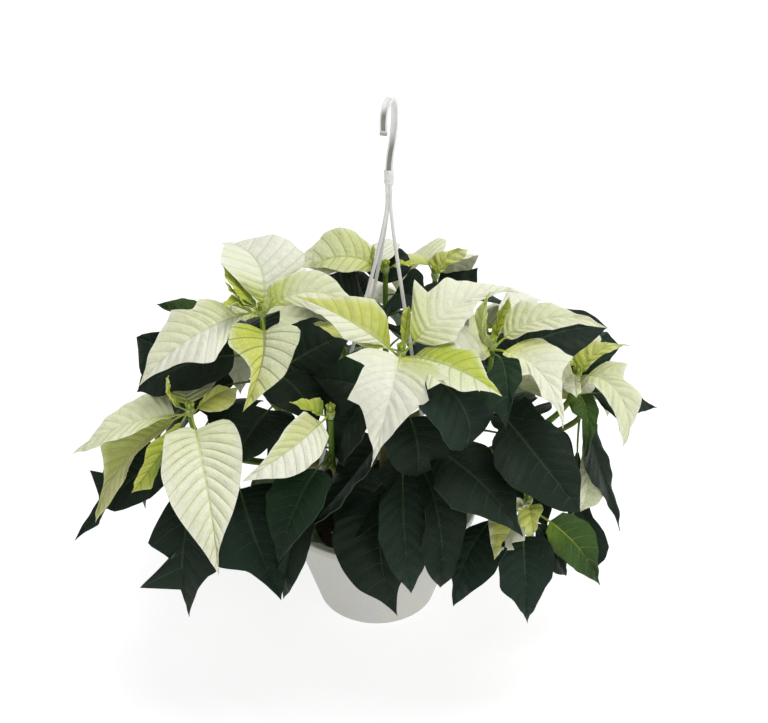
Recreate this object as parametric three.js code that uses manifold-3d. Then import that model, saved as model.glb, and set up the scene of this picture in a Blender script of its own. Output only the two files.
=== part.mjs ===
// A white poinsettia in a hanging pot, in millimetres, +Z up.
// The origin is the middle of the pot's foot, on the surface that it stands on.
import * as THREE from "three";
import { mergeVertices } from "three/addons/utils/BufferGeometryUtils.js";
import Module from "manifold-3d";

const wasm = await Module();
wasm.setup();

// ---------- driving dimensions ----------
const GAP = 0.35; // between two pieces that touch
const POT = {
  foot: 60,
  top: 97,
  height: 118,
  wall: 2.6,
  floor: 3,
  lip: 5,
  lipHeight: 9,
  sides: 30,
  footEdge: 3, // the chamfers of the foot, under the lip and over it
  underEdge: 0.6,
  overEdge: 1.2,
};
const SOIL = { below: 14, crown: 5, hole: 8, holeSides: 8 };
const DRAIN = { holes: 4, radius: 4, ring: 38, sides: 6 };
const HANGER = {
  turns: [222, 310, 112], // where the strands are clipped to the rim, in degrees
  collar: [12, 0, 463],
  collarRadius: 4.6,
  collarHeight: 13,
  collarSides: 12,
  strandRadius: 1.7,
  strandSides: 6,
  strandSteps: 8,
  parallel: 26, // how far the strands run together below the collar
};
// The clip at a strand's foot grips the pot's lip: how far it reaches in over the lip and in under it,
// how thick it is outside, under and over the lip, and how wide it is along the rim.
const CLIP = { over: 9, under: 2.6, outThick: 3, underThick: 3, overThick: 3.4, width: 9 };
const HOOK = { top: 543, width: 6.4, thick: 3.4, turn: 72, bendRadius: 16, bendSteps: 8, endDrop: 11 };
const TRUNK = { radius: 6.5, forkRadius: 5, depth: 55, plumb: 26, sides: 6, steps: 4 };
const BRANCH = { radius: 4, tipRadius: 2.5, sides: 5, steps: 4, plumb: 0.98, climb: 0.36 };
const HUB = { radius: 4.4, height: 9, seat: 3, stagger: 0.26, sides: 6, lift: 0.5 };
const BLADE = { thick: 0.8, petioleThick: 2.2, petioleHalf: 1.1, stalkHalf: 1.5 };
const EARS_END = 0.25; // the share of a blade at which its ears no longer reach back
// The air that a blade by the rule needs round it, and how far past its petiole that starts.
const ROOM = { thick: 2.6, from: 0.08 };
const CUP = {
  count: 4,
  radius: 1.9,
  height: 6.5,
  waist: 0.6,
  ring: 2.7,
  sides: 4,
  seatHeight: 1.6,
  seatSides: 4,
};

const FLOOR_CLEAR = 55; // the lowest that the tip of a leaf by the rule hangs
const SPREAD = 268; // the furthest that it reaches from the pot's middle
const LEAN_REACH = 190; // a branch that ends this far out leans as much as any
const TOUCH = 1e-3; // two solids touch if they share more than this, in cubic millimetres

// ---------- outlines ----------
// Each row is a place along the blade and its half widths there, left and right, in shares of the blade's width.
// The rows of the plan name one of these with its width in millimetres, or give rows of their own, as text:
// the place in hundredths and the half widths in millimetres.
const OUTLINES = {
  plain: [
    [0, 0.05, 0.05],
    [0.16, 0.4, 0.4],
    [0.42, 0.5, 0.5],
    [0.76, 0.22, 0.22],
    [1, 0, 0],
  ],
  oval: [
    [0, 0.05, 0.05],
    [0.09, 0.32, 0.32],
    [0.3, 0.5, 0.5],
    [0.56, 0.42, 0.42],
    [0.81, 0.17, 0.17],
    [1, 0, 0],
  ],
  small: [
    [0, 0.1, 0.1],
    [0.3, 0.48, 0.48],
    [0.62, 0.38, 0.38],
    [1, 0, 0],
  ],
  shouldered: [
    [0, 0.05, 0.05],
    [0.08, 0.3, 0.3],
    [0.24, 0.43, 0.44],
    [0.42, 0.55, 0.5],
    [0.48, 0.42, 0.46],
    [0.77, 0.2, 0.21],
    [1, 0, 0],
  ],
};

// ---------- the plan of the plant ----------
// Three plants share the pot. Each has a trunk from the soil to a fork, and a branch to each head.
const PLANTS = {
  left: { foot: [-34, -8], fork: [-42, -14, 172] },
  right: { foot: [26, -24], fork: [36, -26, 168] },
  back: { foot: [8, 36], fork: [10, 42, 170] },
};

// A head is the top of a branch, where the coloured bracts spread round the small flowers.
// A bract is [tip x, y, z, rise at the root in degrees, width, outline, and what sets it apart].
// A leaf is the same, with its place on the branch in front: 0 at the fork, 1 at the head.
// `ruled` lists the headings in degrees of the bracts and leaves that the rule below adds.
const HEADS = {
  upper_left: {
    plant: "left",
    at: [-104, -40, 357],
    bracts: [
      [-145, 30, 390, 67, "16 22 22, 24 30 40, 34 37 43, 45 42 40, 56 35 36", { fold: 20, sweep: -14 }],
      [-13, -32, 339, 49, "3 12 4, 12 20 9, 48 20 25, 76 8 25", { roll: 30, sweep: 1 }],
      [
        -214,
        -85,
        302,
        3,
        "12 10 7, 16 13 23, 27 28 30, 34 35 24, 39 40 28, 47 37 35, 61 20 24",
        { roll: -22, sweep: 2 },
      ],
      [
        -118,
        -118,
        294,
        -14,
        "3 28 14, 10 37 30, 30 33 33, 44 30 14, 58 26 6",
        { petiole: 0.18, fold: 20, sweep: 11, ears: 0.07 },
      ],
      [-140, -20, 392, 48, "48 17 7, 70 13 10", { petiole: 0.12, fold: 22 }],
      [-136, -40, 384, 28, "small 14"],
      [-135, -70, 376, 41, "8 3 14, 22 5 20, 63 10 7", { petiole: 0.12, fold: 22, sweep: -9 }],
      [-94, -60, 392, 28, "small 12"],
    ],
    leaves: [
      [0.8, -222, -60, 280, 16, "1 12 25, 11 30 32, 26 37 41, 56 34 38, 77 27 22", { roll: -20 }],
      [0.72, -53, -90, 263, 15, "oval 76"],
      [0.55, -131, -130, 240, 10, "shouldered 94"],
      [0.7, -20, -10, 318, 30, "oval 70", { roll: 20 }],
    ],
    ruled: { bracts: [82], leaves: [120, 180, 60] },
  },
  front: {
    plant: "right",
    at: [23, -90, 342],
    bracts: [
      [-71, -78, 389, 43, "18 8 21, 35 16 29, 42 18 26", { roll: -42 }],
      [
        132,
        -17,
        362,
        52,
        "2 7 10, 7 13 20, 20 30 28, 29 43 22, 30 26 22, 44 28 18, 58 18 5",
        { roll: 26, sweep: -5 },
      ],
      [
        -4,
        -160,
        264,
        19,
        "3 22 10, 6 10 29, 13 36 39, 19 45 47, 22 51 28, 25 29 29, 38 36 32, 48 24 36, 50 22 25, 80 3 3",
        { sweep: 12, ears: 0.07 },
      ],
      [
        109,
        -145,
        327,
        21,
        "7 12 7, 29 30 24, 38 24 35, 50 26 50, 52 26 32, 69 15 26, 82 7 12",
        { roll: 6, sweep: -3 },
      ],
      [30, -60, 370, 17, "90 4 2", { petiole: 0.12, fold: 22, sweep: 1 }],
      [-57, -50, 347, 15, "10 10 4, 40 12 5, 75 7 12, 92 3 8", { sweep: 6 }],
    ],
    leaves: [
      [0.93, 81, -128, 262, 34, "8 10 24, 20 14 48, 32 18 60, 68 31 48, 88 20 15", { sweep: -2 }],
      [0.3, 20, -165, 101, -12, "22 13 35, 44 26 45, 62 23 39, 78 11 27, 89 5 9", { sweep: -19 }],
      [0.4, 59, -160, 130, 20, "14 20 10, 40 26 13, 62 20 22, 76 13 18", { sweep: 2 }],
      [0.45, 33, -150, 115, 1, "15 20 16, 20 21 22, 47 23 25", { sweep: -7 }],
      [0.5, 131, -174, 199, 17, "31 33 43, 39 32 54, 56 29 55", { sweep: -2 }],
      [0.75, -58, -66, 300, 25, "shouldered 70", { roll: -30 }],
      [0.85, -28, -108, 226, 3, "oval 84"],
      [0.72, -67, -143, 179, -51, "5 30 36, 14 46 48, 30 56 42, 80 38 13", { roll: 26 }],
      [0.35, 35, -128, 187, 25, "shouldered 64"],
      [0.2, -35, -135, 151, 10, "plain 76"],
      [0.74, 36, -120, 225, 15, "oval 66"],
    ],
    ruled: { bracts: [], leaves: [70, 150, 215] },
  },
  upper_right: {
    plant: "right",
    at: [106, -60, 333],
    bracts: [
      [72, -100, 331, 10, "5 5 34, 26 7 38, 36 6 26, 62 7 34, 92 4 18", { petiole: 0.05, roll: -50 }],
      [210, -60, 347, 38, "1 9 2, 6 21 8, 25 27 13, 34 18 15, 50 16 15, 71 4 10", { roll: 20, sweep: 9 }],
      [158, 24, 333, 28, "11 4 11, 34 10 18, 56 16 18, 84 25 6, 94 18 2, 96 6 2", { sweep: 6 }],
      [
        165,
        -135,
        287,
        14,
        "5 17 8, 19 29 13, 40 31 25, 41 31 11, 48 33 12, 54 17 12, 65 10 14, 75 6 6",
        { roll: 8, sweep: 8 },
      ],
      [121, -45, 371, 47, "9 4 6, 78 2 10", { petiole: 0.12, fold: 22, sweep: 6 }],
      [102, -66, 388, 17, "5 7 2, 67 3 10", { petiole: 0.12, fold: 22, sweep: 2 }],
    ],
    leaves: [
      [0.75, 184, -150, 208, 1, "14 15 29, 28 29 39, 53 30 43, 71 22 31, 92 6 16", { roll: 16, sweep: -12 }],
      [0.97, 114, -140, 289, 44, "23 14 10, 43 14 20, 55 8 26, 68 3 24, 82 2 9", { sweep: 4 }],
      [0.85, 217, -20, 326, 34, "18 12 10, 46 28 34, 72 19 22, 90 12 8", { roll: 28, sweep: 7 }],
      [0.6, 159, -80, 258, 10, "oval 60"],
    ],
    ruled: { bracts: [], leaves: [60, 120, 20] },
  },
  left: {
    plant: "left",
    at: [-169, -90, 281],
    bracts: [
      [-275, -112, 246, 5, "1 2 16, 15 8 30, 28 16 28, 72 17 9", { roll: -8, sweep: -2 }],
      [-262, -114, 170, -22, "10 4 14, 48 8 26, 59 11 12, 77 10 3", { roll: -50 }],
      [
        -140,
        -185,
        164,
        -10,
        "2 15 15, 3 26 6, 8 34 28, 30 34 39, 44 28 36, 85 2 8",
        { petiole: 0.14, ears: 0.07 },
      ],
      [-127, -60, 284, 40, "12 2 18, 29 6 26, 53 7 25", { petiole: 0.12, fold: 22, roll: 20 }],
      [-222, -130, 215, -16, "44 6 14, 79 18 5", { petiole: 0.12, fold: 22, roll: -20, sweep: 12 }],
      [-185, -91, 316, 22, "small 12"],
    ],
    leaves: [
      [0.7, -172, -170, 104, -5, "6 16 11, 12 32 15, 44 37 33, 55 35 10, 72 14 39, 74 13 3", { sweep: -2 }],
      [
        0.85,
        -285,
        -110,
        146,
        -30,
        "1 20 24, 10 29 26, 23 30 28, 37 24 34, 48 19 22, 51 17 33, 61 4 8, 74 10 6",
        { roll: -40 },
      ],
      [0.5, -85, -185, 136, -23, "4 32 14, 19 40 27, 48 33 45, 62 24 45, 72 18 18", { sweep: -6 }],
    ],
    ruled: { bracts: [140], leaves: [120, 165] },
  },
  right: {
    plant: "right",
    at: [192, -20, 278],
    bracts: [
      [243, 0, 296, 55, "1 14 2, 5 14 4, 46 12 6, 76 2 4", { roll: 30, sweep: 6 }],
      [
        232,
        -70,
        226,
        40,
        "1 9 2, 6 19 8, 15 24 17, 24 28 16, 31 15 16, 52 19 15, 71 6 15",
        { roll: 10, sweep: 3 },
      ],
      [185, -70, 280, 30, "66 5 14, 81 6 10", { sweep: -2 }],
      [172, -60, 289, 20, "8 5 18, 80 4 9", { petiole: 0.12, fold: 22, roll: -40 }],
    ],
    leaves: [
      [0.9, 242, -52, 114, -68, "6 16 19, 19 14 34, 39 14 32, 67 8 10", { sweep: 3 }],
      [0.85, 193, -90, 222, 53, "1 11 2, 15 11 16, 36 11 15, 46 9 6, 78 2 4", { sweep: 5 }],
      [0.85, 274, -10, 232, 3, "14 16 29, 22 15 39, 64 6 23", { roll: 20, sweep: 5 }],
      [0.3, 160, -116, 164, 8, "plain 66"],
    ],
    ruled: { bracts: [100], leaves: [45, 110] },
  },
  front_low: {
    plant: "left",
    at: [-40, -115, 294],
    bracts: [
      [-76, -118, 305, 30, "10 3 14", { petiole: 0.12, fold: 22, roll: -15 }],
      [-115, -180, 262, 8, "5 15 6, 12 18 18, 50 25 12, 70 20 6", { roll: -28, sweep: 11 }],
    ],
    leaves: [
      [0.8, -48, -105, 137, 0, "oval 74"],
      [0.74, -105, -112, 215, 10, "oval 74"],
      [0.55, -85, -165, 121, -1, "8 10 20, 20 18 19, 62 18 8", { sweep: 6 }],
    ],
    ruled: { bracts: [], leaves: [200] },
  },
  low_right: {
    plant: "right",
    at: [140, -120, 203],
    bracts: [
      [106, -176, 175, -14, "33 11 2, 34 12 17, 41 14 24, 54 18 19, 67 8 14, 78 15 10, 80 2 9"],
      [144, -140, 173, 16, "1 8 11, 23 12 14, 67 3 11", { petiole: 0.12, fold: 22, sweep: -2 }],
      [126, -150, 211, 20, "1 2 5, 41 3 8", { petiole: 0.12, fold: 22 }],
      [123, -140, 223, 10, "small 22"],
    ],
    leaves: [
      [0.6, 71, -170, 116, 11, "7 17 5, 23 37 14, 46 35 18"],
      [0.8, 141, -164, 91, -4, "1 17 13, 18 27 26, 44 21 25, 81 3 3", { sweep: -6 }],
      [0.85, 176, -150, 136, -16, "30 13 17, 54 14 21, 76 10 16", { sweep: -6 }],
      [
        0.9,
        208,
        -150,
        125,
        -13,
        "1 2 2, 2 5 14, 6 15 17, 21 21 26, 41 23 25, 56 20 21, 80 4 11",
        { roll: 20 },
      ],
    ],
    ruled: { bracts: [], leaves: [] },
  },
  side_right: {
    plant: "right",
    at: [205, 20, 215],
    bracts: [
      [202, -44, 132, 2, "64 8 10, 77 17 8", { sweep: 6 }],
    ],
    leaves: [
      [0.95, 218, -76, 89, -52, "58 9 16, 72 17 16, 85 18 14, 95 9 10", { sweep: -9 }],
    ],
    ruled: { bracts: [62, 115], leaves: [50, 105] },
  },
  back_middle: {
    plant: "back",
    at: [9, 100, 332],
    bracts: [
      [-66, 95, 332, 50, "15 15 12, 29 20 26, 46 24 33, 66 18 32, 83 10 22", { roll: -25 }],
      [-2, 94, 359, 25, "small 14"],
      [40, 90, 338, 30, "small 14"],
    ],
    leaves: [
      [0.85, 13, 170, 325, 40, "oval 52"],
      [0.7, -54, 66, 339, 30, "oval 84", { roll: -25 }],
      [0.75, 90, 60, 325, 30, "oval 72"],
      [0.88, 49, 60, 314, 25, "oval 60", { roll: 30 }],
    ],
    ruled: { bracts: [110, 150], leaves: [200, 60] },
  },
  back_right: {
    plant: "back",
    at: [60, 120, 315],
    bracts: [
      [94, 130, 336, 61, "6 18 4, 62 5 13, 85 2 9", { roll: 30, sweep: 6 }],
    ],
    leaves: [
      [0.8, 106, 150, 306, 20, "shouldered 50", { roll: 20 }],
    ],
    ruled: { bracts: [75, 125], leaves: [40, 95] },
  },
  back_left: {
    plant: "left",
    at: [-140, 74, 278],
    bracts: [],
    leaves: [
      [0.8, -235, 30, 289, 8, "14 24 16, 40 44 18, 72 52 14, 93 38 6", { roll: -42 }],
      [0.9, -214, 40, 320, 40, "12 12 16, 38 12 24, 62 9 22", { roll: -20 }],
    ],
    ruled: { bracts: [70, 120, 168, 235, 15], leaves: [95, 150, 205, 50] },
  },
  back: {
    plant: "back",
    at: [-50, 180, 255],
    bracts: [],
    leaves: [],
    ruled: { bracts: [85, 150, 215, 20, 290], leaves: [60, 120, 180, 240, 95] },
  },
  back_far_right: {
    plant: "back",
    at: [130, 130, 240],
    bracts: [],
    leaves: [],
    ruled: { bracts: [45, 110, 345, 170, 240], leaves: [20, 75, 130, 320, 50] },
  },
};

// The rule for the bracts and leaves that the plan doesn't name one by one.
const RULE = {
  bract: { length: [88, 122], width: 0.62, rise: 22, droop: 16, tilt: 30, shapes: ["oval", "shouldered"] },
  leaf: { length: [112, 146], width: 0.6, rise: 12, droop: 42, tilt: 16, shapes: ["plain"] },
  leafFrom: 0.4, // the stretch of a branch that carries its leaves
  leafTo: 0.92,
  nextDroop: 5, // how much more each of three bracts in turn droops than the one before
  steeperDown: 1.25, // leaves droop more the lower they stand: their droop is times this less their place
  scatter: { droop: 8, roll: 14, sweep: 7 },
};
// The ways that a blade by the rule may turn aside and lift to clear its neighbours, in degrees, nearest first.
const WAYS = [
  [0, 0], [0, 9], [0, -9], [14, 0], [-14, 0], [14, 9], [-14, 9], [14, -9], [-14, -9],
  [28, 0], [-28, 0], [28, 9], [-28, 9], [0, 18], [0, -18], [42, 0], [-42, 0], [42, 12], [-42, 12],
  [42, -12], [-42, -12], [28, 20], [-28, 20], [60, 0], [-60, 0], [60, 14], [-60, 14],
];

// ---------- small helpers ----------
const rad = (degrees) => (degrees * Math.PI) / 180;
const v3 = (p) => new THREE.Vector3(...p);
const mix = (a, b, t) => a + (b - a) * t;
// A number from 0 to 1 that is always the same for the same seed.
const chance = (seed) => {
  const x = Math.sin(seed * 12.9898) * 43758.5453;
  return x - Math.floor(x);
};

// A closed three.js geometry as a solid.
function solidOf(geometry) {
  const bare = geometry.clone();
  bare.deleteAttribute("normal");
  bare.deleteAttribute("uv");
  const merged = mergeVertices(bare, 1e-4);
  return new wasm.Manifold(
    new wasm.Mesh({
      numProp: 3,
      vertProperties: merged.attributes.position.array,
      triVerts: new Uint32Array(merged.index.array),
    }),
  );
}

// A solid as a three.js geometry.
function geometryOf(solid) {
  const mesh = solid.getMesh();
  const places = new Float32Array(mesh.numVert * 3);
  for (let i = 0; i < mesh.numVert; i++)
    places.set(mesh.vertProperties.subarray(i * mesh.numProp, i * mesh.numProp + 3), i * 3);
  const geometry = new THREE.BufferGeometry();
  geometry.setAttribute("position", new THREE.BufferAttribute(places, 3));
  geometry.setIndex(new THREE.BufferAttribute(new Uint32Array(mesh.triVerts), 1));
  geometry.computeVertexNormals();
  return geometry;
}

// The solids joined in one. What ends up loose from the largest body is dropped.
function fuse(solids) {
  const joined = solids.reduce((a, b) => a.add(b));
  const bodies = joined.decompose();
  return bodies.sort((a, b) => b.volume() - a.volume())[0];
}

// A round bar along a curve, from one radius to another.
function bar(curve, startRadius, endRadius, sides, steps) {
  const geometry = new THREE.CylinderGeometry(endRadius, startRadius, 1, sides, steps);
  const places = geometry.attributes.position;
  const across = new THREE.Vector3();
  const other = new THREE.Vector3();
  for (let i = 0; i < places.count; i++) {
    const t = places.getY(i) + 0.5;
    const point = curve.getPoint(t);
    const along = curve.getTangent(t);
    across.crossVectors(along, new THREE.Vector3(0, 1, 0)).normalize();
    other.crossVectors(across, along);
    point.addScaledVector(across, -places.getX(i)).addScaledVector(other, -places.getZ(i));
    places.setXYZ(i, point.x, point.y, point.z);
  }
  return solidOf(geometry);
}

// ---------- blades ----------
// The arc of a petiole and midrib: it leaves the root at `rise` and ends at the tip.
function arcTo(root, tip, rise) {
  const reach = Math.hypot(tip.x - root.x, tip.y - root.y);
  const chord = Math.hypot(reach, tip.z - root.z);
  const off = rad(rise) - Math.atan2(tip.z - root.z, reach);
  return {
    root,
    turn: Math.atan2(tip.y - root.y, tip.x - root.x),
    rise: rad(rise),
    bend: 2 * off + (off === 0 ? 1e-6 : 0),
    length: Math.abs(off) < 1e-6 ? chord : (chord * off) / Math.sin(off),
  };
}

// The place and the frame of the arc at s, from 0 at the root to 1 at the tip.
function arcFrame(arc, s, roll) {
  const tilt = arc.rise - arc.bend * s;
  const out = (arc.length * (Math.sin(arc.rise) - Math.sin(tilt))) / arc.bend;
  const up = (arc.length * (Math.cos(tilt) - Math.cos(arc.rise))) / arc.bend;
  const cosTurn = Math.cos(arc.turn);
  const sinTurn = Math.sin(arc.turn);
  const place = new THREE.Vector3(arc.root.x + out * cosTurn, arc.root.y + out * sinTurn, arc.root.z + up);
  const level = new THREE.Vector3(-sinTurn, cosTurn, 0);
  const face = new THREE.Vector3(-Math.sin(tilt) * cosTurn, -Math.sin(tilt) * sinTurn, Math.cos(tilt));
  const side = level.clone().multiplyScalar(Math.cos(roll)).addScaledVector(face, Math.sin(roll));
  const normal = face.clone().multiplyScalar(Math.cos(roll)).addScaledVector(level, -Math.sin(roll));
  return { place, side, normal };
}

// The rows of a named outline with its width, or of an outline of its own. Its ends aren't in the text.
function outlineOf(text) {
  const [name, width] = text.split(" ");
  if (OUTLINES[name]) return OUTLINES[name].map(([at, left, right]) => [at, left * width, right * width]);
  const rows = text.split(", ").map((row) => row.split(" ").map(Number));
  const inner = rows.map(([at, left, right]) => [at / 100, left, right]);
  return [[0, BLADE.stalkHalf, BLADE.stalkHalf], ...inner, [1, 0, 0]];
}

// The cross rows of a blade, from its root to its tip. Ears make the rim reach back beside the petiole.
function rowsOf(blade) {
  const petiole = blade.petiole;
  const stalk = { s: 0, rim: 0, left: BLADE.petioleHalf, right: BLADE.petioleHalf, half: BLADE.petioleThick / 2 };
  const lamina = outlineOf(blade.outline).map(([at, left, right], i) => {
    const back = i === 0 ? 0 : blade.ears * Math.max(0, 1 - at / EARS_END);
    const half = (i === 0 ? BLADE.petioleThick : BLADE.thick) / 2;
    return { s: petiole + (1 - petiole) * at, rim: petiole + (1 - petiole) * (at - back), left, right, half };
  });
  return [stalk, ...lamina];
}

// A blade as a closed thin solid, folded along its midrib. Both faces are split into triangles alike.
// `thick` replaces its thickness, and `from` leaves out the rows before that place.
function bladeSolid(blade, thick = 0, from = 0) {
  const arc = arcTo(blade.root, blade.tip, blade.rise);
  const fold = rad(blade.fold);
  const rows = rowsOf(blade).filter((row) => row.s >= from);
  const last = rows.length - 1;
  const places = [];
  const index = [];
  const COLUMNS = 3;
  for (const side of [1, -1])
    rows.forEach((row, i) => {
      const half = side * (thick ? thick / 2 : row.half);
      const columns = i === last ? [0] : [-row.right, 0, row.left];
      for (const offset of columns) {
        const edge = Math.sign(offset);
        const s = edge ? row.rim : row.s;
        const { place: point, side: across, normal } = arcFrame(arc, s, rad(blade.roll));
        point.addScaledVector(across, 4 * blade.sweep * s * (1 - s));
        point.addScaledVector(across, offset * Math.cos(fold) - half * edge * Math.sin(fold));
        point.addScaledVector(normal, Math.abs(offset) * Math.sin(fold) + half * (edge ? Math.cos(fold) : 1));
        places.push(point.x, point.y, point.z);
      }
    });
  const perFace = last * COLUMNS + 1;
  const tip = last * COLUMNS;
  const face = (a, b, c) => {
    index.push(a, b, c);
    index.push(a + perFace, c + perFace, b + perFace);
  };
  const rim = (a, b) => index.push(a, a + perFace, b, b, a + perFace, b + perFace);
  for (let i = 0; i < last; i++) {
    const [right, middle, left] = [0, 1, 2].map((c) => i * COLUMNS + c);
    if (i === last - 1) {
      face(right, tip, middle);
      face(middle, tip, left);
      rim(right, tip);
      rim(tip, left);
    } else {
      const [farRight, farMiddle, farLeft] = [right, middle, left].map((k) => k + COLUMNS);
      face(right, farRight, farMiddle);
      face(right, farMiddle, middle);
      face(middle, farMiddle, left);
      face(left, farMiddle, farLeft);
      rim(right, farRight);
      rim(farLeft, left);
    }
  }
  rim(1, 0);
  rim(2, 1);
  const geometry = new THREE.BufferGeometry();
  geometry.setAttribute("position", new THREE.BufferAttribute(new Float32Array(places), 3));
  geometry.setIndex(index);
  return solidOf(geometry);
}

// ---------- pot, soil and hanger ----------
const lathe = (profile, sides) =>
  solidOf(new THREE.LatheGeometry(profile.map(([r, z]) => new THREE.Vector2(r, z)), sides)).rotate([90, 0, 0]);

const cylinderUp = (radius, low, high, x, y, sides) =>
  solidOf(
    new THREE.CylinderGeometry(radius, radius, high - low, sides)
      .rotateX(Math.PI / 2)
      .translate(x, y, (low + high) / 2),
  );

function potInnerRadius(z) {
  return mix(POT.foot, POT.top, z / POT.height) - POT.wall;
}

function makePot() {
  const { foot, top, height, wall, floor, lip, lipHeight, sides, footEdge, underEdge, overEdge } = POT;
  const lipOuter = top + lip;
  const profile = [
    [0, 0],
    [foot - footEdge, 0],
    [foot, footEdge],
    [mix(foot, top, (height - lipHeight) / height), height - lipHeight],
    [lipOuter - underEdge, height - lipHeight],
    [lipOuter, height - overEdge],
    [lipOuter - overEdge, height],
    [top - wall, height],
    [potInnerRadius(floor), floor],
    [0, floor],
  ];
  let pot = lathe(profile, sides);
  for (let i = 0; i < DRAIN.holes; i++) {
    const turn = (i / DRAIN.holes) * 2 * Math.PI;
    const [x, y] = [DRAIN.ring * Math.cos(turn), DRAIN.ring * Math.sin(turn)];
    pot = pot.subtract(cylinderUp(DRAIN.radius, -1, floor + 1, x, y, DRAIN.sides));
  }
  return pot;
}

function makeSoil() {
  const low = POT.floor + GAP;
  const high = POT.height - SOIL.below;
  let soil = lathe(
    [
      [0, low],
      [potInnerRadius(low) - GAP, low],
      [potInnerRadius(high) - GAP, high],
      [potInnerRadius(high) * 0.55, high + SOIL.crown * 0.7],
      [0, high + SOIL.crown],
    ],
    POT.sides,
  );
  const [holeLow, holeHigh] = [high - TRUNK.depth - GAP, high + 2 * SOIL.crown];
  for (const { foot } of Object.values(PLANTS))
    soil = soil.subtract(cylinderUp(SOIL.hole, holeLow, holeHigh, foot[0], foot[1], SOIL.holeSides));
  return soil;
}

// One strand: a clip that grips the lip, and a round bar that rises to just below the collar.
function makeStrand(turn) {
  const outer = POT.top + POT.lip;
  const under = POT.height - POT.lipHeight - GAP;
  const over = POT.height + GAP;
  const grip = new THREE.Shape([
    [outer - CLIP.over, over],
    [outer + GAP, over],
    [outer + GAP, under],
    [outer - CLIP.under, under],
    [outer - CLIP.under, under + GAP - CLIP.underThick],
    [outer + CLIP.outThick, under + GAP - CLIP.underThick],
    [outer + CLIP.outThick, POT.height + CLIP.overThick],
    [outer - CLIP.over, POT.height + CLIP.overThick],
  ].map(([r, z]) => new THREE.Vector2(r, z)));
  const clip = solidOf(
    new THREE.ExtrudeGeometry(grip, { depth: CLIP.width, bevelEnabled: false })
      .translate(0, 0, -CLIP.width / 2)
      .rotateX(Math.PI / 2)
      .rotateZ(rad(turn)),
  );
  const [x, y] = [Math.cos(rad(turn)), Math.sin(rad(turn))];
  const [cx, cy, cz] = HANGER.collar;
  const stand = HANGER.collarRadius - HANGER.strandRadius - 0.5;
  const low = v3([(outer - 1) * x, (outer - 1) * y, POT.height + 2]);
  const knee = v3([cx + stand * x * 1.3, cy + stand * y * 1.3, cz - HANGER.parallel]);
  const high = v3([cx + stand * x, cy + stand * y, cz - GAP]);
  const middle = low.clone().lerp(knee, 0.5);
  middle.z = mix(low.z, knee.z, 0.47); // the strand sags a little
  const curve = new THREE.CatmullRomCurve3([low, middle, knee, high]);
  const { strandRadius, strandSides, strandSteps } = HANGER;
  return fuse([bar(curve, strandRadius, strandRadius, strandSides, strandSteps), clip]);
}

// The hook: a flat strip that rises from the collar, swings out, and turns over to a blunt end.
function makeHook() {
  const [cx, cy, cz] = HANGER.collar;
  const half = HOOK.thick / 2;
  const bendHeight = HOOK.top - cz - HOOK.bendRadius - half;
  const path = [
    [0, HANGER.collarHeight - 2],
    [3, 24],
    [10, 36],
    [HOOK.bendRadius - 0.5, 50],
  ];
  for (let i = 0; i <= HOOK.bendSteps; i++) {
    const a = (i / HOOK.bendSteps) * Math.PI;
    path.push([HOOK.bendRadius * Math.cos(a), bendHeight + HOOK.bendRadius * Math.sin(a)]);
  }
  path.push([0.5 - HOOK.bendRadius, bendHeight - HOOK.endDrop]);
  const beside = (sign) =>
    path.map(([x, z], i) => {
      const [x0, z0] = path[Math.max(0, i - 1)];
      const [x1, z1] = path[Math.min(path.length - 1, i + 1)];
      const size = Math.hypot(x1 - x0, z1 - z0);
      return new THREE.Vector2(x + (sign * half * (z1 - z0)) / size, z - (sign * half * (x1 - x0)) / size);
    });
  const shape = new THREE.Shape([...beside(1), ...beside(-1).reverse()]);
  const strip = solidOf(
    new THREE.ExtrudeGeometry(shape, { depth: HOOK.width, bevelEnabled: false })
      .translate(0, 0, -HOOK.width / 2)
      .rotateX(Math.PI / 2)
      .rotateZ(rad(HOOK.turn))
      .translate(cx, cy, cz),
  );
  const collar = cylinderUp(HANGER.collarRadius, cz, cz + HANGER.collarHeight, cx, cy, HANGER.collarSides);
  return fuse([strip, collar]);
}

// ---------- the plant ----------
// A branch climbs straight from its fork and turns upright under its head.
function branchCurve(head) {
  const { fork } = PLANTS[head.plant];
  const [fx, fy, fz] = fork;
  const [x, y, z] = head.at;
  const top = z - HUB.height - HUB.lift;
  return new THREE.QuadraticBezierCurve3(
    v3(fork),
    new THREE.Vector3(mix(fx, x, BRANCH.plumb), mix(fy, y, BRANCH.plumb), mix(fz, top, BRANCH.climb)),
    new THREE.Vector3(x, y, top),
  );
}

function trunkSolid(plant) {
  const { foot, fork } = PLANTS[plant];
  const bottom = POT.height - SOIL.below - TRUNK.depth;
  const curve = new THREE.QuadraticBezierCurve3(
    new THREE.Vector3(foot[0], foot[1], bottom),
    new THREE.Vector3(foot[0], foot[1], POT.height + TRUNK.plumb),
    v3(fork),
  );
  return bar(curve, TRUNK.radius, TRUNK.forkRadius, TRUNK.sides, TRUNK.steps);
}

// Where the rule sends a blade's tip. `lean` is the way that its branch leans: blades on that side droop more.
function ruledTip(root, rule, seed, turn, lean, droop, way) {
  const length = mix(rule.length[0], rule.length[1], chance(seed + 1));
  const heading = rad(turn + way[0]);
  const outward = Math.cos(heading - lean.turn) * lean.size;
  const { droop: spread } = RULE.scatter;
  const dip = rad(-droop - rule.tilt * outward + mix(-spread, spread, chance(seed + 2)) + way[1]);
  const reach = length * Math.cos(dip);
  const tip = new THREE.Vector3(
    root.x + reach * Math.cos(heading),
    root.y + reach * Math.sin(heading),
    root.z + length * Math.sin(dip),
  );
  return { tip, length };
}

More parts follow.
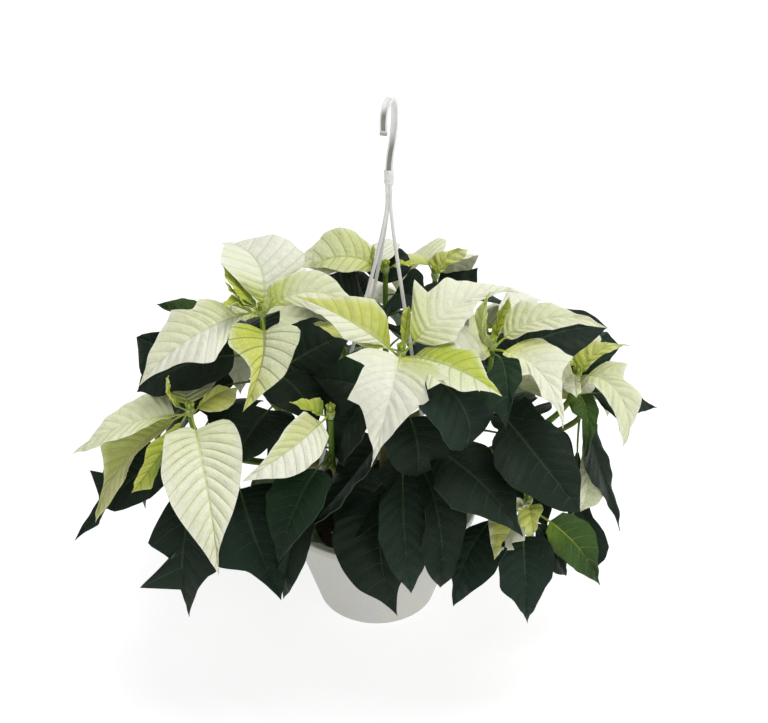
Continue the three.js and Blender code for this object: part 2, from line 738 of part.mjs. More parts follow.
// The small flowers: a ring of cups on each head.
function cupsSolid([x, y, z]) {
  const base = z + GAP;
  const solids = [cylinderUp(HUB.radius - 0.6, base, base + CUP.seatHeight, x, y, CUP.seatSides)];
  for (let i = 0; i < CUP.count; i++) {
    const turn = (i / CUP.count) * 2 * Math.PI;
    const cup = lathe([[0, 0], [CUP.radius, CUP.height * CUP.waist], [0, CUP.height]], CUP.sides);
    solids.push(cup.translate([x + CUP.ring * Math.cos(turn), y + CUP.ring * Math.sin(turn), base]));
  }
  return fuse(solids);
}

const fixed = []; // pot, soil, hanger, stems, hubs and flowers: { node, solid, box }
const placed = []; // the same for every blade so far
const touches = (a, b) => {
  for (let i = 0; i < 3; i++) if (a.box.min[i] > b.box.max[i] || b.box.min[i] > a.box.max[i]) return false;
  return a.solid.intersect(b.solid).volume() > TOUCH;
};
const boxed = (node, solid) => ({ node, solid, box: solid.boundingBox() });

// True if the blade has room: its petiole crosses no other node, and its blade crosses nothing at all.
function hasRoom(blade, node) {
  const body = boxed(node, bladeSolid(blade));
  const outer = boxed(node, bladeSolid(blade, ROOM.thick, blade.petiole + ROOM.from));
  if (fixed.some((f) => touches(outer, f) || (f.node !== node && touches(body, f)))) return false;
  return !placed.some((p) => touches(outer, p) || (p.node !== node && touches(body, p)));
}

const solidsOf = {}; // node name to the solids that are fused in it
const add = (node, solid) => (solidsOf[node] ??= []).push(solid);

function addBlade(blade, node) {
  const solid = bladeSolid(blade);
  placed.push(boxed(node, solid));
  add(node, solid);
}

// The petioles leave a hub one above another, each on its own side.
function rootOn(hub, turn, count) {
  const step = HUB.height * HUB.stagger * ((count % 3) - 1);
  return new THREE.Vector3(hub.x + HUB.seat * Math.cos(turn), hub.y + HUB.seat * Math.sin(turn), hub.z + step);
}

function plannedBlade([x, y, z, rise, outline, apart], root, kind) {
  return { ...PLAIN[kind], ...apart, root, tip: new THREE.Vector3(x, y, z), rise, outline };
}

// Adds a blade by the rule in the first of its ways that has room, or leaves it out.
function growRuled(node, root, kind, seed, turn, lean, droop) {
  const rule = RULE[kind];
  const { roll, sweep } = RULE.scatter;
  const shape = rule.shapes[Math.floor(chance(seed + 3) * rule.shapes.length)];
  const look = {
    roll: mix(-roll, roll, chance(seed + 4)),
    sweep: mix(-sweep, sweep, chance(seed + 5)),
  };
  for (const way of WAYS) {
    const { tip, length } = ruledTip(root, rule, seed, turn, lean, droop, way);
    if (tip.z < FLOOR_CLEAR || Math.hypot(tip.x, tip.y) > SPREAD) continue;
    const outline = `${shape} ${length * rule.width}`;
    const blade = { ...PLAIN[kind], ...look, root, tip, rise: rule.rise, outline };
    if (hasRoom(blade, node)) return addBlade(blade, node);
  }
}

// What a blade is unless its row says otherwise: the share of its length that is petiole, its fold and
// roll in degrees, its sideways bow in millimetres, and the share of it that its rim's ears reach back.
const PLAIN = {
  bract: { petiole: 0.1, fold: 10, roll: 0, sweep: 0, ears: 0 },
  small: { petiole: 0.12, fold: 22, roll: 0, sweep: 0, ears: 0 },
  leaf: { petiole: 0.24, fold: 12, roll: 0, sweep: 0, ears: 0 },
};

const pot = makePot();
const soil = makeSoil();
const hook = makeHook();
const strands = HANGER.turns.map(makeStrand);
fixed.push(boxed("pot", pot), boxed("soil", soil), boxed("hanger_hook", hook));
strands.forEach((s, i) => fixed.push(boxed("hanger_strand_" + (i + 1), s)));

const heads = Object.entries(HEADS).map(([name, head], i) => {
  const curve = branchCurve(head);
  const [x, y, z] = head.at;
  const lean = { turn: Math.atan2(y, x), size: Math.min(1, Math.hypot(x, y) / LEAN_REACH) };
  return { name, head, curve, lean, seed: 100 * (i + 1), hub: new THREE.Vector3(x, y, z - HUB.height / 2) };
});

for (const plant of Object.keys(PLANTS)) add("leafy_stem_" + plant, trunkSolid(plant));
for (const { head, curve } of heads)
  add("leafy_stem_" + head.plant, bar(curve, BRANCH.radius, BRANCH.tipRadius, BRANCH.sides, BRANCH.steps));
for (const { name, head } of heads) {
  const [x, y, z] = head.at;
  add("bracts_" + name, cylinderUp(HUB.radius, z - HUB.height + GAP, z, x, y, HUB.sides));
}
for (const [node, solids] of Object.entries(solidsOf)) for (const solid of solids) fixed.push(boxed(node, solid));
const flowers = heads.map(({ name, head }) => boxed("flowers_" + name, cupsSolid(head.at)));
fixed.push(...flowers);

// The planned blades first, then those by the rule where there is room.
for (const { name, head, curve, hub } of heads) {
  const [x, y] = head.at;
  head.bracts.forEach((row, i) => {
    const kind = row[4].startsWith("small") ? "small" : "bract";
    const root = rootOn(hub, Math.atan2(row[1] - y, row[0] - x), i);
    addBlade(plannedBlade(row, root, kind), "bracts_" + name);
  });
  for (const [at, ...row] of head.leaves)
    addBlade(plannedBlade(row, curve.getPoint(at), "leaf"), "leafy_stem_" + head.plant);
}
for (const { name, head, hub, lean, seed } of heads)
  head.ruled.bracts.forEach((turn, k) => {
    const root = rootOn(hub, rad(turn), head.bracts.length + k);
    const droop = RULE.bract.droop + RULE.nextDroop * (k % 3);
    growRuled("bracts_" + name, root, "bract", seed + 10 * k, turn, lean, droop);
  });
for (const { head, curve, lean, seed } of heads)
  head.ruled.leaves.forEach((turn, k) => {
    const at = mix(RULE.leafTo, RULE.leafFrom, (k + 0.5) / head.ruled.leaves.length);
    const droop = RULE.leaf.droop * (RULE.steeperDown - at);
    growRuled("leafy_stem_" + head.plant, curve.getPoint(at), "leaf", seed + 50 + 5 * k, turn, lean, droop);
  });

// ---------- the group ----------
const finish = {
  pot: new THREE.MeshStandardMaterial({ color: 0xd9d7cf, roughness: 0.8 }),
  soil: new THREE.MeshStandardMaterial({ color: 0x2b211a, roughness: 1 }),
  hanger: new THREE.MeshStandardMaterial({ color: 0xf2f2f0, roughness: 0.45 }),
  leaf: new THREE.MeshStandardMaterial({ color: 0x1f3a2a, roughness: 0.55 }),
  bract: new THREE.MeshStandardMaterial({ color: 0xe9ecd2, roughness: 0.6 }),
  flower: new THREE.MeshStandardMaterial({ color: 0xb7c23a, roughness: 0.5 }),
};

const poinsettia = new THREE.Group();
poinsettia.name = "poinsettia";
function show(name, solid, material) {
  const mesh = new THREE.Mesh(geometryOf(solid), material);
  mesh.name = name;
  poinsettia.add(mesh);
}

show("pot", pot, finish.pot);
show("soil", soil, finish.soil);
show("hanger_hook", hook, finish.hanger);
strands.forEach((strand, i) => show("hanger_strand_" + (i + 1), strand, finish.hanger));
for (const [node, solids] of Object.entries(solidsOf))
  show(node, fuse(solids), node.startsWith("bracts_") ? finish.bract : finish.leaf);
for (const { node, solid } of flowers) show(node, solid, finish.flower);

export default poinsettia;
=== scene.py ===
"""A white poinsettia in a hanging pot: its looks, built around the packed frame."""

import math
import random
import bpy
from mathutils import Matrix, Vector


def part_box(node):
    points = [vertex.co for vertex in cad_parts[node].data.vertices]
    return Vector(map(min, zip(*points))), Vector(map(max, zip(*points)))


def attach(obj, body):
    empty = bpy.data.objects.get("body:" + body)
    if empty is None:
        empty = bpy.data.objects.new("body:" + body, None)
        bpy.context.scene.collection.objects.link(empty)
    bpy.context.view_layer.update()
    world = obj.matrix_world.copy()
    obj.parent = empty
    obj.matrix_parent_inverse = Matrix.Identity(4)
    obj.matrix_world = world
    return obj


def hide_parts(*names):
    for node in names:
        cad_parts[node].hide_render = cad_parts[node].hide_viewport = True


bl_info = {
    "name": "Potted White Poinsettia",
    "version": (1, 0, 0),
    "blender": (4, 5, 0),
    "location": "View3D > Sidebar > Poinsettia",
    "description": "Builds a white poinsettia with its pot, hanger, leaves, bracts and flowers",
    "category": "Add Mesh",
}

import bmesh
import bpy
from mathutils import Matrix, Vector, noise
from mathutils.kdtree import KDTree

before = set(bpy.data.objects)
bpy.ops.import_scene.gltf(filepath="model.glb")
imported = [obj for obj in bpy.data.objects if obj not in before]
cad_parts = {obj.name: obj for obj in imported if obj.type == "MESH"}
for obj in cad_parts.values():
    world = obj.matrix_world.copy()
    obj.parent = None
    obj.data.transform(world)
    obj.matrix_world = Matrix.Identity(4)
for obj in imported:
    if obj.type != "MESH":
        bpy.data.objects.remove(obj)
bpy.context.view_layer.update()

MM = 0.001  # the meshes are modelled in millimetres and scaled to metres at the end
SHARP = math.radians(48)  # a fold sharper than this is shaded as an edge
ON_AXIS = 1e-4  # nearer to the axis than this is on it, in millimetres

# ---------- sizes shared with the solids, in millimetres ----------
POT_LOW, POT_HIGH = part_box("pot")
POT_HEIGHT = POT_HIGH.z / MM
POT_RIM = (POT_HIGH.y - POT_LOW.y) / 2 / MM  # the outer radius of the lip
POT_LIP = 5  # how far the lip stands out from the wall
POT_TOP = POT_RIM - POT_LIP  # the outer radius of the wall under the lip
POT_FOOT = 60
POT_WALL = 2.6
POT_FLOOR = 3
LIP_HEIGHT = 9
DRAIN_HOLES = 4
DRAIN_RADIUS = 4
DRAIN_RING = 38  # how far the drain holes are from the middle
SOIL_BELOW = 14  # how far the potting mix stays below the rim
SOIL_CROWN = 5  # how far its middle stands above its edge
GAP = 0.35  # the room that the solids leave between them

STRAND_TURNS = (222, 310, 112)  # where the strands are clipped to the rim, in degrees
COLLAR = Vector((12, 0, 463))
COLLAR_RADIUS = 4.6
COLLAR_HEIGHT = 13
STRAND_STAND = 2.4  # how far the strands stand from the collar's middle
STRAND_PARALLEL = 26  # how far below the collar the strands part
CLIP_OVER, CLIP_UNDER, CLIP_THICK, CLIP_TOP, CLIP_WIDTH = 9, 2.6, 3, 3.4, 9
HOOK_TOP = 543
HOOK_WIDTH = 6.4
HOOK_THICK = 3.4
HOOK_TURN = 72  # the way that the hook opens, in degrees
HOOK_BEND = 16  # the radius of its bend, to the middle of the strip
HOOK_DROP = 11

TRUNK_RADIUS, FORK_RADIUS = 6.5, 5
TRUNK_DEPTH = 55  # how deep the trunks stand in the potting mix
TRUNK_PLUMB = 26  # how far above the rim a trunk aims before it leans
BRANCH_RADIUS, BRANCH_TIP = 4, 2.5
BRANCH_PLUMB, BRANCH_CLIMB = 0.98, 0.36
HUB_RADIUS = 4.4
HUB_HEIGHT = 9
HUB_SEAT = 3  # how far from the hub's middle the bracts begin
HUB_STAGGER = 0.26  # how far apart they begin in height, in shares of the hub's height
HUB_LIFT = 0.5  # how far below the hub its branch ends
FLOOR_CLEAR = 55  # no blade by the rule ends lower than this
SPREAD = 268  # nor farther out than this
LEAN_REACH = 190  # a head this far out leans outwards in full

# ---------- tones, as 8-bit sRGB ----------
TONES = {
    "white": (240, 241, 223),
    "ivory": (235, 238, 211),
    "cream": (226, 230, 190),
    "pale": (212, 218, 154),
    "yellow": (212, 217, 106),
    "sun": (210, 215, 116),
    "lime": (190, 202, 72),
    "khaki": (196, 198, 138),
    "moss": (162, 168, 88),
    "olive": (150, 160, 62),
    "green": (112, 144, 48),
    "deep": (52, 78, 38),
    "dark": (30, 42, 33),
    "blueish": (32, 48, 39),
    "mid": (30, 52, 33),
    "fresh": (57, 85, 40),
    "rib": (74, 96, 68),
    "bark": (96, 86, 56),
}

# name: left half from base to tip, right half, the veins, how strongly they show, the rim.
# Left and right are those of someone who stands at the root and looks along the blade.
PAINTS = {
    "snow": ("ivory white white", "ivory white white", "khaki", 0.14, "white"),
    "ivory": ("lime ivory white", "cream white white", "green", 0.20, "white"),
    "striped": ("lime cream ivory", "lime ivory white", "pale", 0.60, "white"),
    "snow_olive": ("cream white white", "pale cream ivory", "olive", 0.22, "white"),
    "half_lime": ("cream cream yellow", "lime yellow yellow", "deep", 0.50, "cream"),
    # The khaki veins of this paint are partly the veins' own colour and partly painted shade in the creases
    # of its quilting.
    "quilted": ("cream ivory ivory", "cream ivory ivory", "khaki", 0.60, "white"),
    "olive_cream": ("cream ivory ivory", "lime sun sun", "olive", 0.22, "ivory"),
    "lime_cream": ("olive lime lime", "pale cream cream", "green", 0.40, "ivory"),
    "lime_base": ("lime ivory white", "pale ivory white", "pale", 0.30, "white"),
    "star": ("lime white white", "ivory white white", "khaki", 0.13, "white"),
    "yellow_base": ("yellow ivory white", "yellow ivory white", "pale", 0.30, "white"),
    "cream": ("pale cream ivory", "pale cream cream", "khaki", 0.30, "white"),
    "pale": ("lime cream cream", "cream cream ivory", "pale", 0.35, "ivory"),
    "khaki_white": ("ivory white white", "khaki pale ivory", "olive", 0.30, "white"),
    "khaki": ("moss khaki khaki", "moss moss khaki", "olive", 0.35, "pale"),
    "mottled": ("lime pale pale", "lime pale cream", "olive", 0.50, "cream"),
    "yellow": ("lime sun yellow", "sun yellow pale", "green", 0.22, "pale"),
    "lime": ("green lime yellow", "green lime lime", "green", 0.45, "yellow"),
    "lime_green": ("green green lime", "lime lime yellow", "deep", 0.40, "yellow"),
    "dark": ("dark dark dark", "dark dark dark", "rib", 0.32, "dark"),
    "blueish": ("dark blueish blueish", "dark blueish blueish", "rib", 0.36, "blueish"),
    "mid": ("mid mid dark", "mid mid dark", "rib", 0.40, "mid"),
    "fresh": ("fresh fresh mid", "green fresh mid", "lime", 0.22, "fresh"),
    "patched": ("dark dark dark", "fresh mid dark", "rib", 0.30, "dark"),
}
RULED_BRACT_PAINTS = ("cream", "pale", "lime_base", "yellow_base", "snow")
RULED_LEAF_PAINTS = ("dark", "blueish", "blueish", "mid")

# ---------- outlines ----------
# Each row is a place along the blade and its half widths there, left and right, in shares of its width.
# The plan names one of these with its width in millimetres, or gives rows of its own, as text: the place
# in hundredths and the half widths in millimetres.
OUTLINES = {
    "plain": [(0, 0.05, 0.05), (0.16, 0.4, 0.4), (0.42, 0.5, 0.5), (0.76, 0.22, 0.22), (1, 0, 0)],
    "oval": [
        (0, 0.05, 0.05), (0.09, 0.32, 0.32), (0.3, 0.5, 0.5), (0.56, 0.42, 0.42), (0.81, 0.17, 0.17),
        (1, 0, 0),
    ],
    "small": [(0, 0.1, 0.1), (0.3, 0.48, 0.48), (0.62, 0.38, 0.38), (1, 0, 0)],
    "shouldered": [
        (0, 0.05, 0.05), (0.08, 0.3, 0.3), (0.24, 0.43, 0.44), (0.42, 0.55, 0.5), (0.48, 0.42, 0.46),
        (0.77, 0.2, 0.21), (1, 0, 0),
    ],
}
# An outline has a tooth where it stops widening and falls faster than this, for a half width of 1.
TOOTH_FALL = -1.2
TOOTH_RISE, TOOTH_DROP = 0.8, 1.3  # its slopes before and after a tooth, in shares of the straight ones
TIP_SLOPE = 0.5  # how much of its last slope the outline keeps at the tip, which draws the tip out
BASE_SLOPE = 1.5  # how much steeper than straight the outline leaves the base
STALK_HALF = 1.5  # the half width where an outline of the plan's own begins
EARS_END = 0.25  # the share of a blade at which its ears no longer reach back

# What a blade is unless its row says otherwise: the share of its length that is petiole, its fold and
# roll in degrees, its sideways bow in millimetres, the share of it that its ears reach back, and how
# strongly it is quilted.
PLAIN = {
    "bract": {"petiole": 0.1, "fold": 10, "roll": 0, "sweep": 0, "ears": 0, "quilt": 1},
    "small": {"petiole": 0.12, "fold": 22, "roll": 0, "sweep": 0, "ears": 0, "quilt": 1},
    "leaf": {"petiole": 0.24, "fold": 12, "roll": 0, "sweep": 0, "ears": 0, "quilt": 1},
}

# The rule for the blades that the plan doesn't name one by one, the same as the solids follow.
RULE = {
    "bract": {"length": (88, 122), "width": 0.62, "rise": 22, "tilt": 30, "shapes": ("oval", "shouldered")},
    "leaf": {"length": (112, 146), "width": 0.6, "rise": 12, "tilt": 16, "shapes": ("plain",)},
}
BRACT_DROOP, NEXT_DROOP = 16, 5  # how far a bract hangs, and how much more the next one does
LEAF_DROOP, STEEPER_DOWN = 42, 1.25  # how far a leaf hangs, and how that grows down the branch
LEAF_FROM, LEAF_TO = 0.4, 0.92  # the part of a branch that has leaves
SCATTER_DROOP, SCATTER_ROLL, SCATTER_SWEEP = 8, 14, 7
# The ways aside and up that a blade tries, in degrees, to stay clear of its neighbours.
WAYS = [
    (0, 0), (0, 9), (0, -9), (14, 0), (-14, 0), (14, 9), (-14, 9), (14, -9), (-14, -9),
    (28, 0), (-28, 0), (28, 9), (-28, 9), (0, 18), (0, -18), (42, 0), (-42, 0), (42, 12), (-42, 12),
    (42, -12), (-42, -12), (28, 20), (-28, 20), (60, 0), (-60, 0), (60, 14), (-60, 14),
]
TIP_NEAR = 0.7  # a solid has a blade there if one of its vertices is this near the blade's tip

# ---------- the plan of the plant ----------
PLANTS = {
    "left": {"foot": (-34, -8), "fork": Vector((-42, -14, 172))},
    "right": {"foot": (26, -24), "fork": Vector((36, -26, 168))},
    "back": {"foot": (8, 36), "fork": Vector((10, 42, 170))},
}


def bract(tip, rise, outline, paint, **apart):
    """One bract of the plan: its tip, its rise at the root in degrees, its outline and its paint."""
    return {"tip": Vector(tip), "rise": rise, "outline": outline, "paint": paint, **apart}


def young(tip, rise, outline, paint, **apart):
    """One young bract, near the flowers: its petiole is longer and it is folded more."""
    return bract(tip, rise, outline, paint, petiole=0.12, fold=22, **apart)


def leaf(at, tip, rise, outline, paint, **apart):
    """One leaf of the plan. Its place on the branch is 0 at the fork and 1 at the head."""
    return {"at": at, **bract(tip, rise, outline, paint, **apart)}


HEADS = {
    "upper_left": {
        "plant": "left",
        "at": (-104, -40, 357),
        "bracts": [
            bract(
                (-145, 30, 390), 67,
                "16 22 22, 24 30 40, 34 37 43, 45 42 40, 56 35 36", "ivory", fold=20, sweep=-14,
            ),
            bract(
                (-13, -32, 339), 49,
                "3 12 4, 12 20 9, 31 22 19, 48 20 25, 76 8 25", "striped", roll=30, sweep=1,
            ),
            bract(
                (-214, -85, 302), 3,
                "12 10 7, 16 13 23, 23 25 29, 27 28 30, 34 35 24, 39 40 28, 47 37 35, 61 20 24, 90 4 5",
                "snow_olive", roll=-22, sweep=2,
            ),
            bract(
                (-118, -118, 294), -14,
                "3 28 14, 10 37 30, 30 33 33, 44 30 14, 58 26 6, 78 12 4",
                "half_lime", petiole=0.18, fold=20, sweep=11, ears=0.07,
            ),
            young((-140, -20, 392), 48, "14 9 4, 48 17 7, 70 13 10, 89 5 6", "lime"),
            bract((-136, -40, 384), 28, "small 14", "lime"),
            young((-135, -70, 376), 41, "8 3 14, 22 5 20, 63 10 7", "lime_green", sweep=-9),
            bract((-94, -60, 392), 28, "small 12", "lime"),
        ],
        "leaves": [
            leaf(
                0.8, (-222, -60, 280), 16,
                "1 12 25, 11 30 32, 26 37 41, 46 38 39, 56 34 38, 77 27 22", "dark", roll=-20,
            ),
            leaf(0.72, (-53, -90, 263), 15, "oval 76", "dark"),
            leaf(0.55, (-131, -130, 240), 10, "shouldered 94", "dark"),
            leaf(0.7, (-20, -10, 318), 30, "oval 70", "dark", roll=20),
        ],
        "ruled": {"bracts": (82,), "leaves": (120, 180, 60)},
    },
    "front": {
        "plant": "right",
        "at": (23, -90, 342),
        "bracts": [
            bract(
                (-71, -78, 389), 43, "11 3 13, 18 8 21, 35 16 29, 42 18 26, 75 6 9", "olive_cream", roll=-42,
            ),
            bract(
                (132, -17, 362), 52,
                "2 7 10, 7 13 20, 20 30 28, 29 43 22, 30 26 22, 37 26 18, "
                "44 28 18, 46 28 13, 51 21 9, 58 18 5, 82 5 2",
                "lime_base", roll=26, sweep=-5,
            ),
            bract(
                (-4, -160, 264), 19,
                "3 22 10, 6 10 29, 13 36 39, 19 45 47, 22 51 28, 25 29 29, "
                "38 36 32, 48 24 36, 50 22 25, 66 11 12, 80 3 3",
                "star", sweep=12, ears=0.07,
            ),
            bract(
                (109, -145, 327), 21,
                "7 12 7, 17 18 14, 29 30 24, 38 24 35, 50 26 50, 52 26 32, 69 15 26, 82 7 12",
                "lime_cream", roll=6, sweep=-3,
            ),
            young((30, -60, 370), 17, "24 3 5, 67 6 4, 90 4 2", "lime", sweep=1),
            bract((-57, -50, 347), 15, "10 10 4, 40 12 5, 75 7 12, 92 3 8", "yellow", sweep=6),
        ],
        "leaves": [
            leaf(
                0.93, (81, -128, 262), 34,
                "8 10 24, 20 14 48, 32 18 60, 54 29 52, 68 31 48, 76 29 36, 88 20 15", "blueish", sweep=-2,
            ),
            leaf(
                0.3, (20, -165, 101), -12,
                "22 13 35, 44 26 45, 62 23 39, 78 11 27, 89 5 9", "dark", sweep=-19,
            ),
            leaf(
                0.4, (59, -160, 130), 20, "14 20 10, 40 26 13, 62 20 22, 76 13 18, 91 8 7", "dark", sweep=2,
            ),
            leaf(
                0.45, (33, -150, 115), 1,
                "15 20 16, 20 21 22, 42 25 24, 47 23 25, 65 18 18", "blueish", sweep=-7,
            ),
            leaf(
                0.5, (131, -174, 199), 17,
                "31 33 43, 39 32 54, 51 32 54, 56 29 55, 68 23 36, 81 10 21", "dark", sweep=-2,
            ),
            leaf(0.75, (-58, -66, 300), 25, "shouldered 70", "patched", roll=-30),
            leaf(0.85, (-28, -108, 226), 3, "oval 84", "dark"),
            leaf(
                0.72, (-67, -143, 179), -51,
                "5 30 36, 14 46 48, 30 56 42, 52 50 30, 80 38 13, 93 16 5", "blueish", roll=26,
            ),
            leaf(0.35, (35, -128, 187), 25, "shouldered 64", "dark"),
            leaf(0.2, (-35, -135, 151), 10, "plain 76", "dark"),
            leaf(0.74, (36, -120, 225), 15, "oval 66", "dark"),
        ],
        "ruled": {"bracts": (), "leaves": (70, 150, 215)},
    },
    "upper_right": {
        "plant": "right",
        "at": (106, -60, 333),
        "bracts": [
            bract(
                (72, -100, 331), 10,
                "5 5 34, 26 7 38, 36 6 26, 62 7 34, 92 4 18", "yellow_base", petiole=0.05, roll=-50,
            ),
            bract(
                (210, -60, 347), 38,
                "1 9 2, 6 21 8, 25 27 13, 34 18 15, 50 16 15, 71 4 10, 86 2 5", "cream", roll=20, sweep=9,
            ),
            bract(
                (158, 24, 333), 28, "11 4 11, 34 10 18, 56 16 18, 84 25 6, 94 18 2, 96 6 2", "snow", sweep=6,
            ),
            bract(
                (165, -135, 287), 14,
                "1 5 2, 5 17 8, 19 29 13, 40 31 25, 41 31 11, 48 33 12, 54 17 12, 65 10 14, 75 6 6",
                "yellow_base", roll=8, sweep=8,
            ),
            young((121, -45, 371), 47, "1 4 2, 9 4 6, 78 2 10", "lime", sweep=6),
            young((102, -66, 388), 17, "5 7 2, 67 3 10", "lime", sweep=2),
        ],
        "leaves": [
            leaf(
                0.75, (184, -150, 208), 1,
                "6 8 12, 14 15 29, 28 29 39, 32 30 42, 47 33 43, 53 30 43, 71 22 31, 92 6 16",
                "dark", roll=16, sweep=-12,
            ),
            leaf(0.97, (114, -140, 289), 44, "23 14 10, 43 14 20, 55 8 26, 68 3 24, 82 2 9", "mid", sweep=4),
            leaf(
                0.85, (217, -20, 326), 34,
                "18 12 10, 29 20 22, 46 28 34, 72 19 22, 90 12 8", "dark", roll=28, sweep=7,
            ),
            leaf(0.6, (159, -80, 258), 10, "oval 60", "dark"),
        ],
        "ruled": {"bracts": (), "leaves": (60, 120, 20)},
    },
    "left": {
        "plant": "left",
        "at": (-169, -90, 281),
        "bracts": [
            bract(
                (-275, -112, 246), 5,
                "1 2 16, 15 8 30, 28 16 28, 37 17 27, 51 20 20, 72 17 9, 80 13 5",
                "pale", roll=-8, sweep=-2,
            ),
            bract((-262, -114, 170), -22, "10 4 14, 38 4 24, 48 8 26, 59 11 12, 77 10 3", "khaki", roll=-50),
            bract(
                (-140, -185, 164), -10,
                "2 15 15, 3 26 6, 8 34 28, 17 37 34, 30 34 39, 44 28 36, 85 2 8",
                "quilted", petiole=0.14, ears=0.07, quilt=5,
            ),
            young((-127, -60, 284), 40, "12 2 18, 29 6 26, 34 8 26, 53 7 25", "yellow", roll=20),
            young((-222, -130, 215), -16, "14 3 7, 44 6 14, 79 18 5", "lime_green", roll=-20, sweep=12),
            bract((-185, -91, 316), 22, "small 12", "lime"),
        ],
        "leaves": [
            leaf(
                0.7, (-172, -170, 104), -5,
                "6 16 11, 12 32 15, 36 38 29, 44 37 33, 55 35 10, 60 26 22, 72 14 39, 74 13 3",
                "dark", sweep=-2,
            ),
            leaf(
                0.85, (-285, -110, 146), -30,
                "1 20 24, 10 29 26, 23 30 28, 37 24 34, 48 19 22, 51 17 33, 55 14 20, 61 4 8, 74 10 6",
                "dark", roll=-40,
            ),
            leaf(
                0.5, (-85, -185, 136), -23,
                "4 32 14, 19 40 27, 30 36 36, 48 33 45, 62 24 45, 72 18 18, 90 7 5", "blueish", sweep=-6,
            ),
        ],
        "ruled": {"bracts": (140,), "leaves": (120, 165)},
    },
    "right": {
        "plant": "right",
        "at": (192, -20, 278),
        "bracts": [
            bract(
                (243, 0, 296), 55,
                "1 14 2, 5 14 4, 20 15 5, 46 12 6, 59 5 7, 76 2 4", "yellow", roll=30, sweep=6,
            ),
            bract(
                (232, -70, 226), 40,
                "1 9 2, 6 19 8, 15 24 17, 24 28 16, 31 15 16, 52 19 15, 71 6 15, 80 2 10",
                "cream", roll=10, sweep=3,
            ),
            bract((185, -70, 280), 30, "20 4 6, 66 5 14, 81 6 10", "pale", sweep=-2),
            young((172, -60, 289), 20, "8 5 18, 50 5 14, 80 4 9", "cream", roll=-40),
        ],
        "leaves": [
            leaf(
                0.9, (242, -52, 114), -68,
                "6 16 19, 19 14 34, 39 14 32, 52 14 22, 67 8 10, 80 6 4", "dark", sweep=3,
            ),
            leaf(
                0.85, (193, -90, 222), 53,
                "1 11 2, 15 11 16, 36 11 15, 46 9 6, 60 7 6, 78 2 4", "fresh", sweep=5,
            ),
            leaf(
                0.85, (274, -10, 232), 3,
                "1 2 2, 10 11 23, 14 16 29, 22 15 39, 64 6 23, 77 2 15", "dark", roll=20, sweep=5,
            ),
            leaf(0.3, (160, -116, 164), 8, "plain 66", "dark"),
        ],
        "ruled": {"bracts": (100,), "leaves": (45, 110)},
    },
    "front_low": {
        "plant": "left",
        "at": (-40, -115, 294),
        "bracts": [
            young((-76, -118, 305), 30, "10 3 14, 55 4 9", "lime", roll=-15),
            bract(
                (-115, -180, 262), 8,
                "5 15 6, 12 18 18, 30 24 18, 50 25 12, 70 20 6, 86 9 3", "khaki_white", roll=-28, sweep=11,
            ),
        ],
        "leaves": [
            leaf(0.8, (-48, -105, 137), 0, "oval 74", "dark"),
            leaf(0.74, (-105, -112, 215), 10, "oval 74", "dark"),
            leaf(
                0.55, (-85, -165, 121), -1,
                "8 10 20, 20 18 19, 42 21 12, 62 18 8, 85 9 4", "patched", sweep=6,
            ),
        ],
        "ruled": {"bracts": (), "leaves": (200,)},
    },
    "low_right": {
        "plant": "right",
        "at": (140, -120, 203),
        "bracts": [
            bract(
                (106, -176, 175), -14,
                "33 11 2, 34 12 17, 41 14 24, 54 18 19, 67 8 14, 78 15 10, 80 2 9", "olive_cream",
            ),
            young((144, -140, 173), 16, "1 8 11, 23 12 14, 39 7 15, 67 3 11", "yellow", sweep=-2),
            young((126, -150, 211), 20, "1 2 5, 41 3 8, 84 4 2", "cream"),
            bract((123, -140, 223), 10, "small 22", "cream"),
        ],
        "leaves": [
            leaf(0.6, (71, -170, 116), 11, "7 17 5, 23 37 14, 46 35 18, 84 11 3", "blueish"),
            leaf(
                0.8, (141, -164, 91), -4,
                "1 17 13, 18 27 26, 39 24 25, 44 21 25, 60 12 12, 81 3 3", "blueish", sweep=-6,
            ),
            leaf(0.85, (176, -150, 136), -16, "10 7 8, 30 13 17, 54 14 21, 76 10 16", "dark", sweep=-6),
            leaf(
                0.9, (208, -150, 125), -13,
                "1 2 2, 2 5 14, 6 15 17, 21 21 26, 41 23 25, 56 20 21, 80 4 11", "fresh", roll=20,
            ),
        ],
        "ruled": {"bracts": (), "leaves": ()},
    },
    "side_right": {
        "plant": "right",
        "at": (205, 20, 215),
        "bracts": [
            bract((202, -44, 132), 2, "20 4 5, 52 7 9, 64 8 10, 77 17 8, 88 12 5", "pale", sweep=6),
        ],
        "leaves": [
            leaf(
                0.95, (218, -76, 89), -52, "20 6 8, 58 9 16, 72 17 16, 85 18 14, 95 9 10", "dark", sweep=-9,
            ),
        ],
        "ruled": {"bracts": (62, 115), "leaves": (50, 105)},
    },
    "back_middle": {
        "plant": "back",
        "at": (9, 100, 332),
        "bracts": [
            bract(
                (-66, 95, 332), 50, "15 15 12, 29 20 26, 46 24 33, 66 18 32, 83 10 22", "mottled", roll=-25,
            ),
            bract((-2, 94, 359), 25, "small 14", "lime"),
            bract((40, 90, 338), 30, "small 14", "lime"),
        ],
        "leaves": [
            leaf(0.85, (13, 170, 325), 40, "oval 52", "dark"),
            leaf(0.7, (-54, 66, 339), 30, "oval 84", "dark", roll=-25),
            leaf(0.75, (90, 60, 325), 30, "oval 72", "dark"),
            leaf(0.88, (49, 60, 314), 25, "oval 60", "dark", roll=30),
        ],
        "ruled": {"bracts": (110, 150), "leaves": (200, 60)},
    },
    "back_right": {
        "plant": "back",
        "at": (60, 120, 315),
        "bracts": [
            bract((94, 130, 336), 61, "6 18 4, 40 10 9, 62 5 13, 85 2 9", "yellow", roll=30, sweep=6),
        ],
        "leaves": [
            leaf(0.8, (106, 150, 306), 20, "shouldered 50", "dark", roll=20),
        ],
        "ruled": {"bracts": (75, 125), "leaves": (40, 95)},
    },
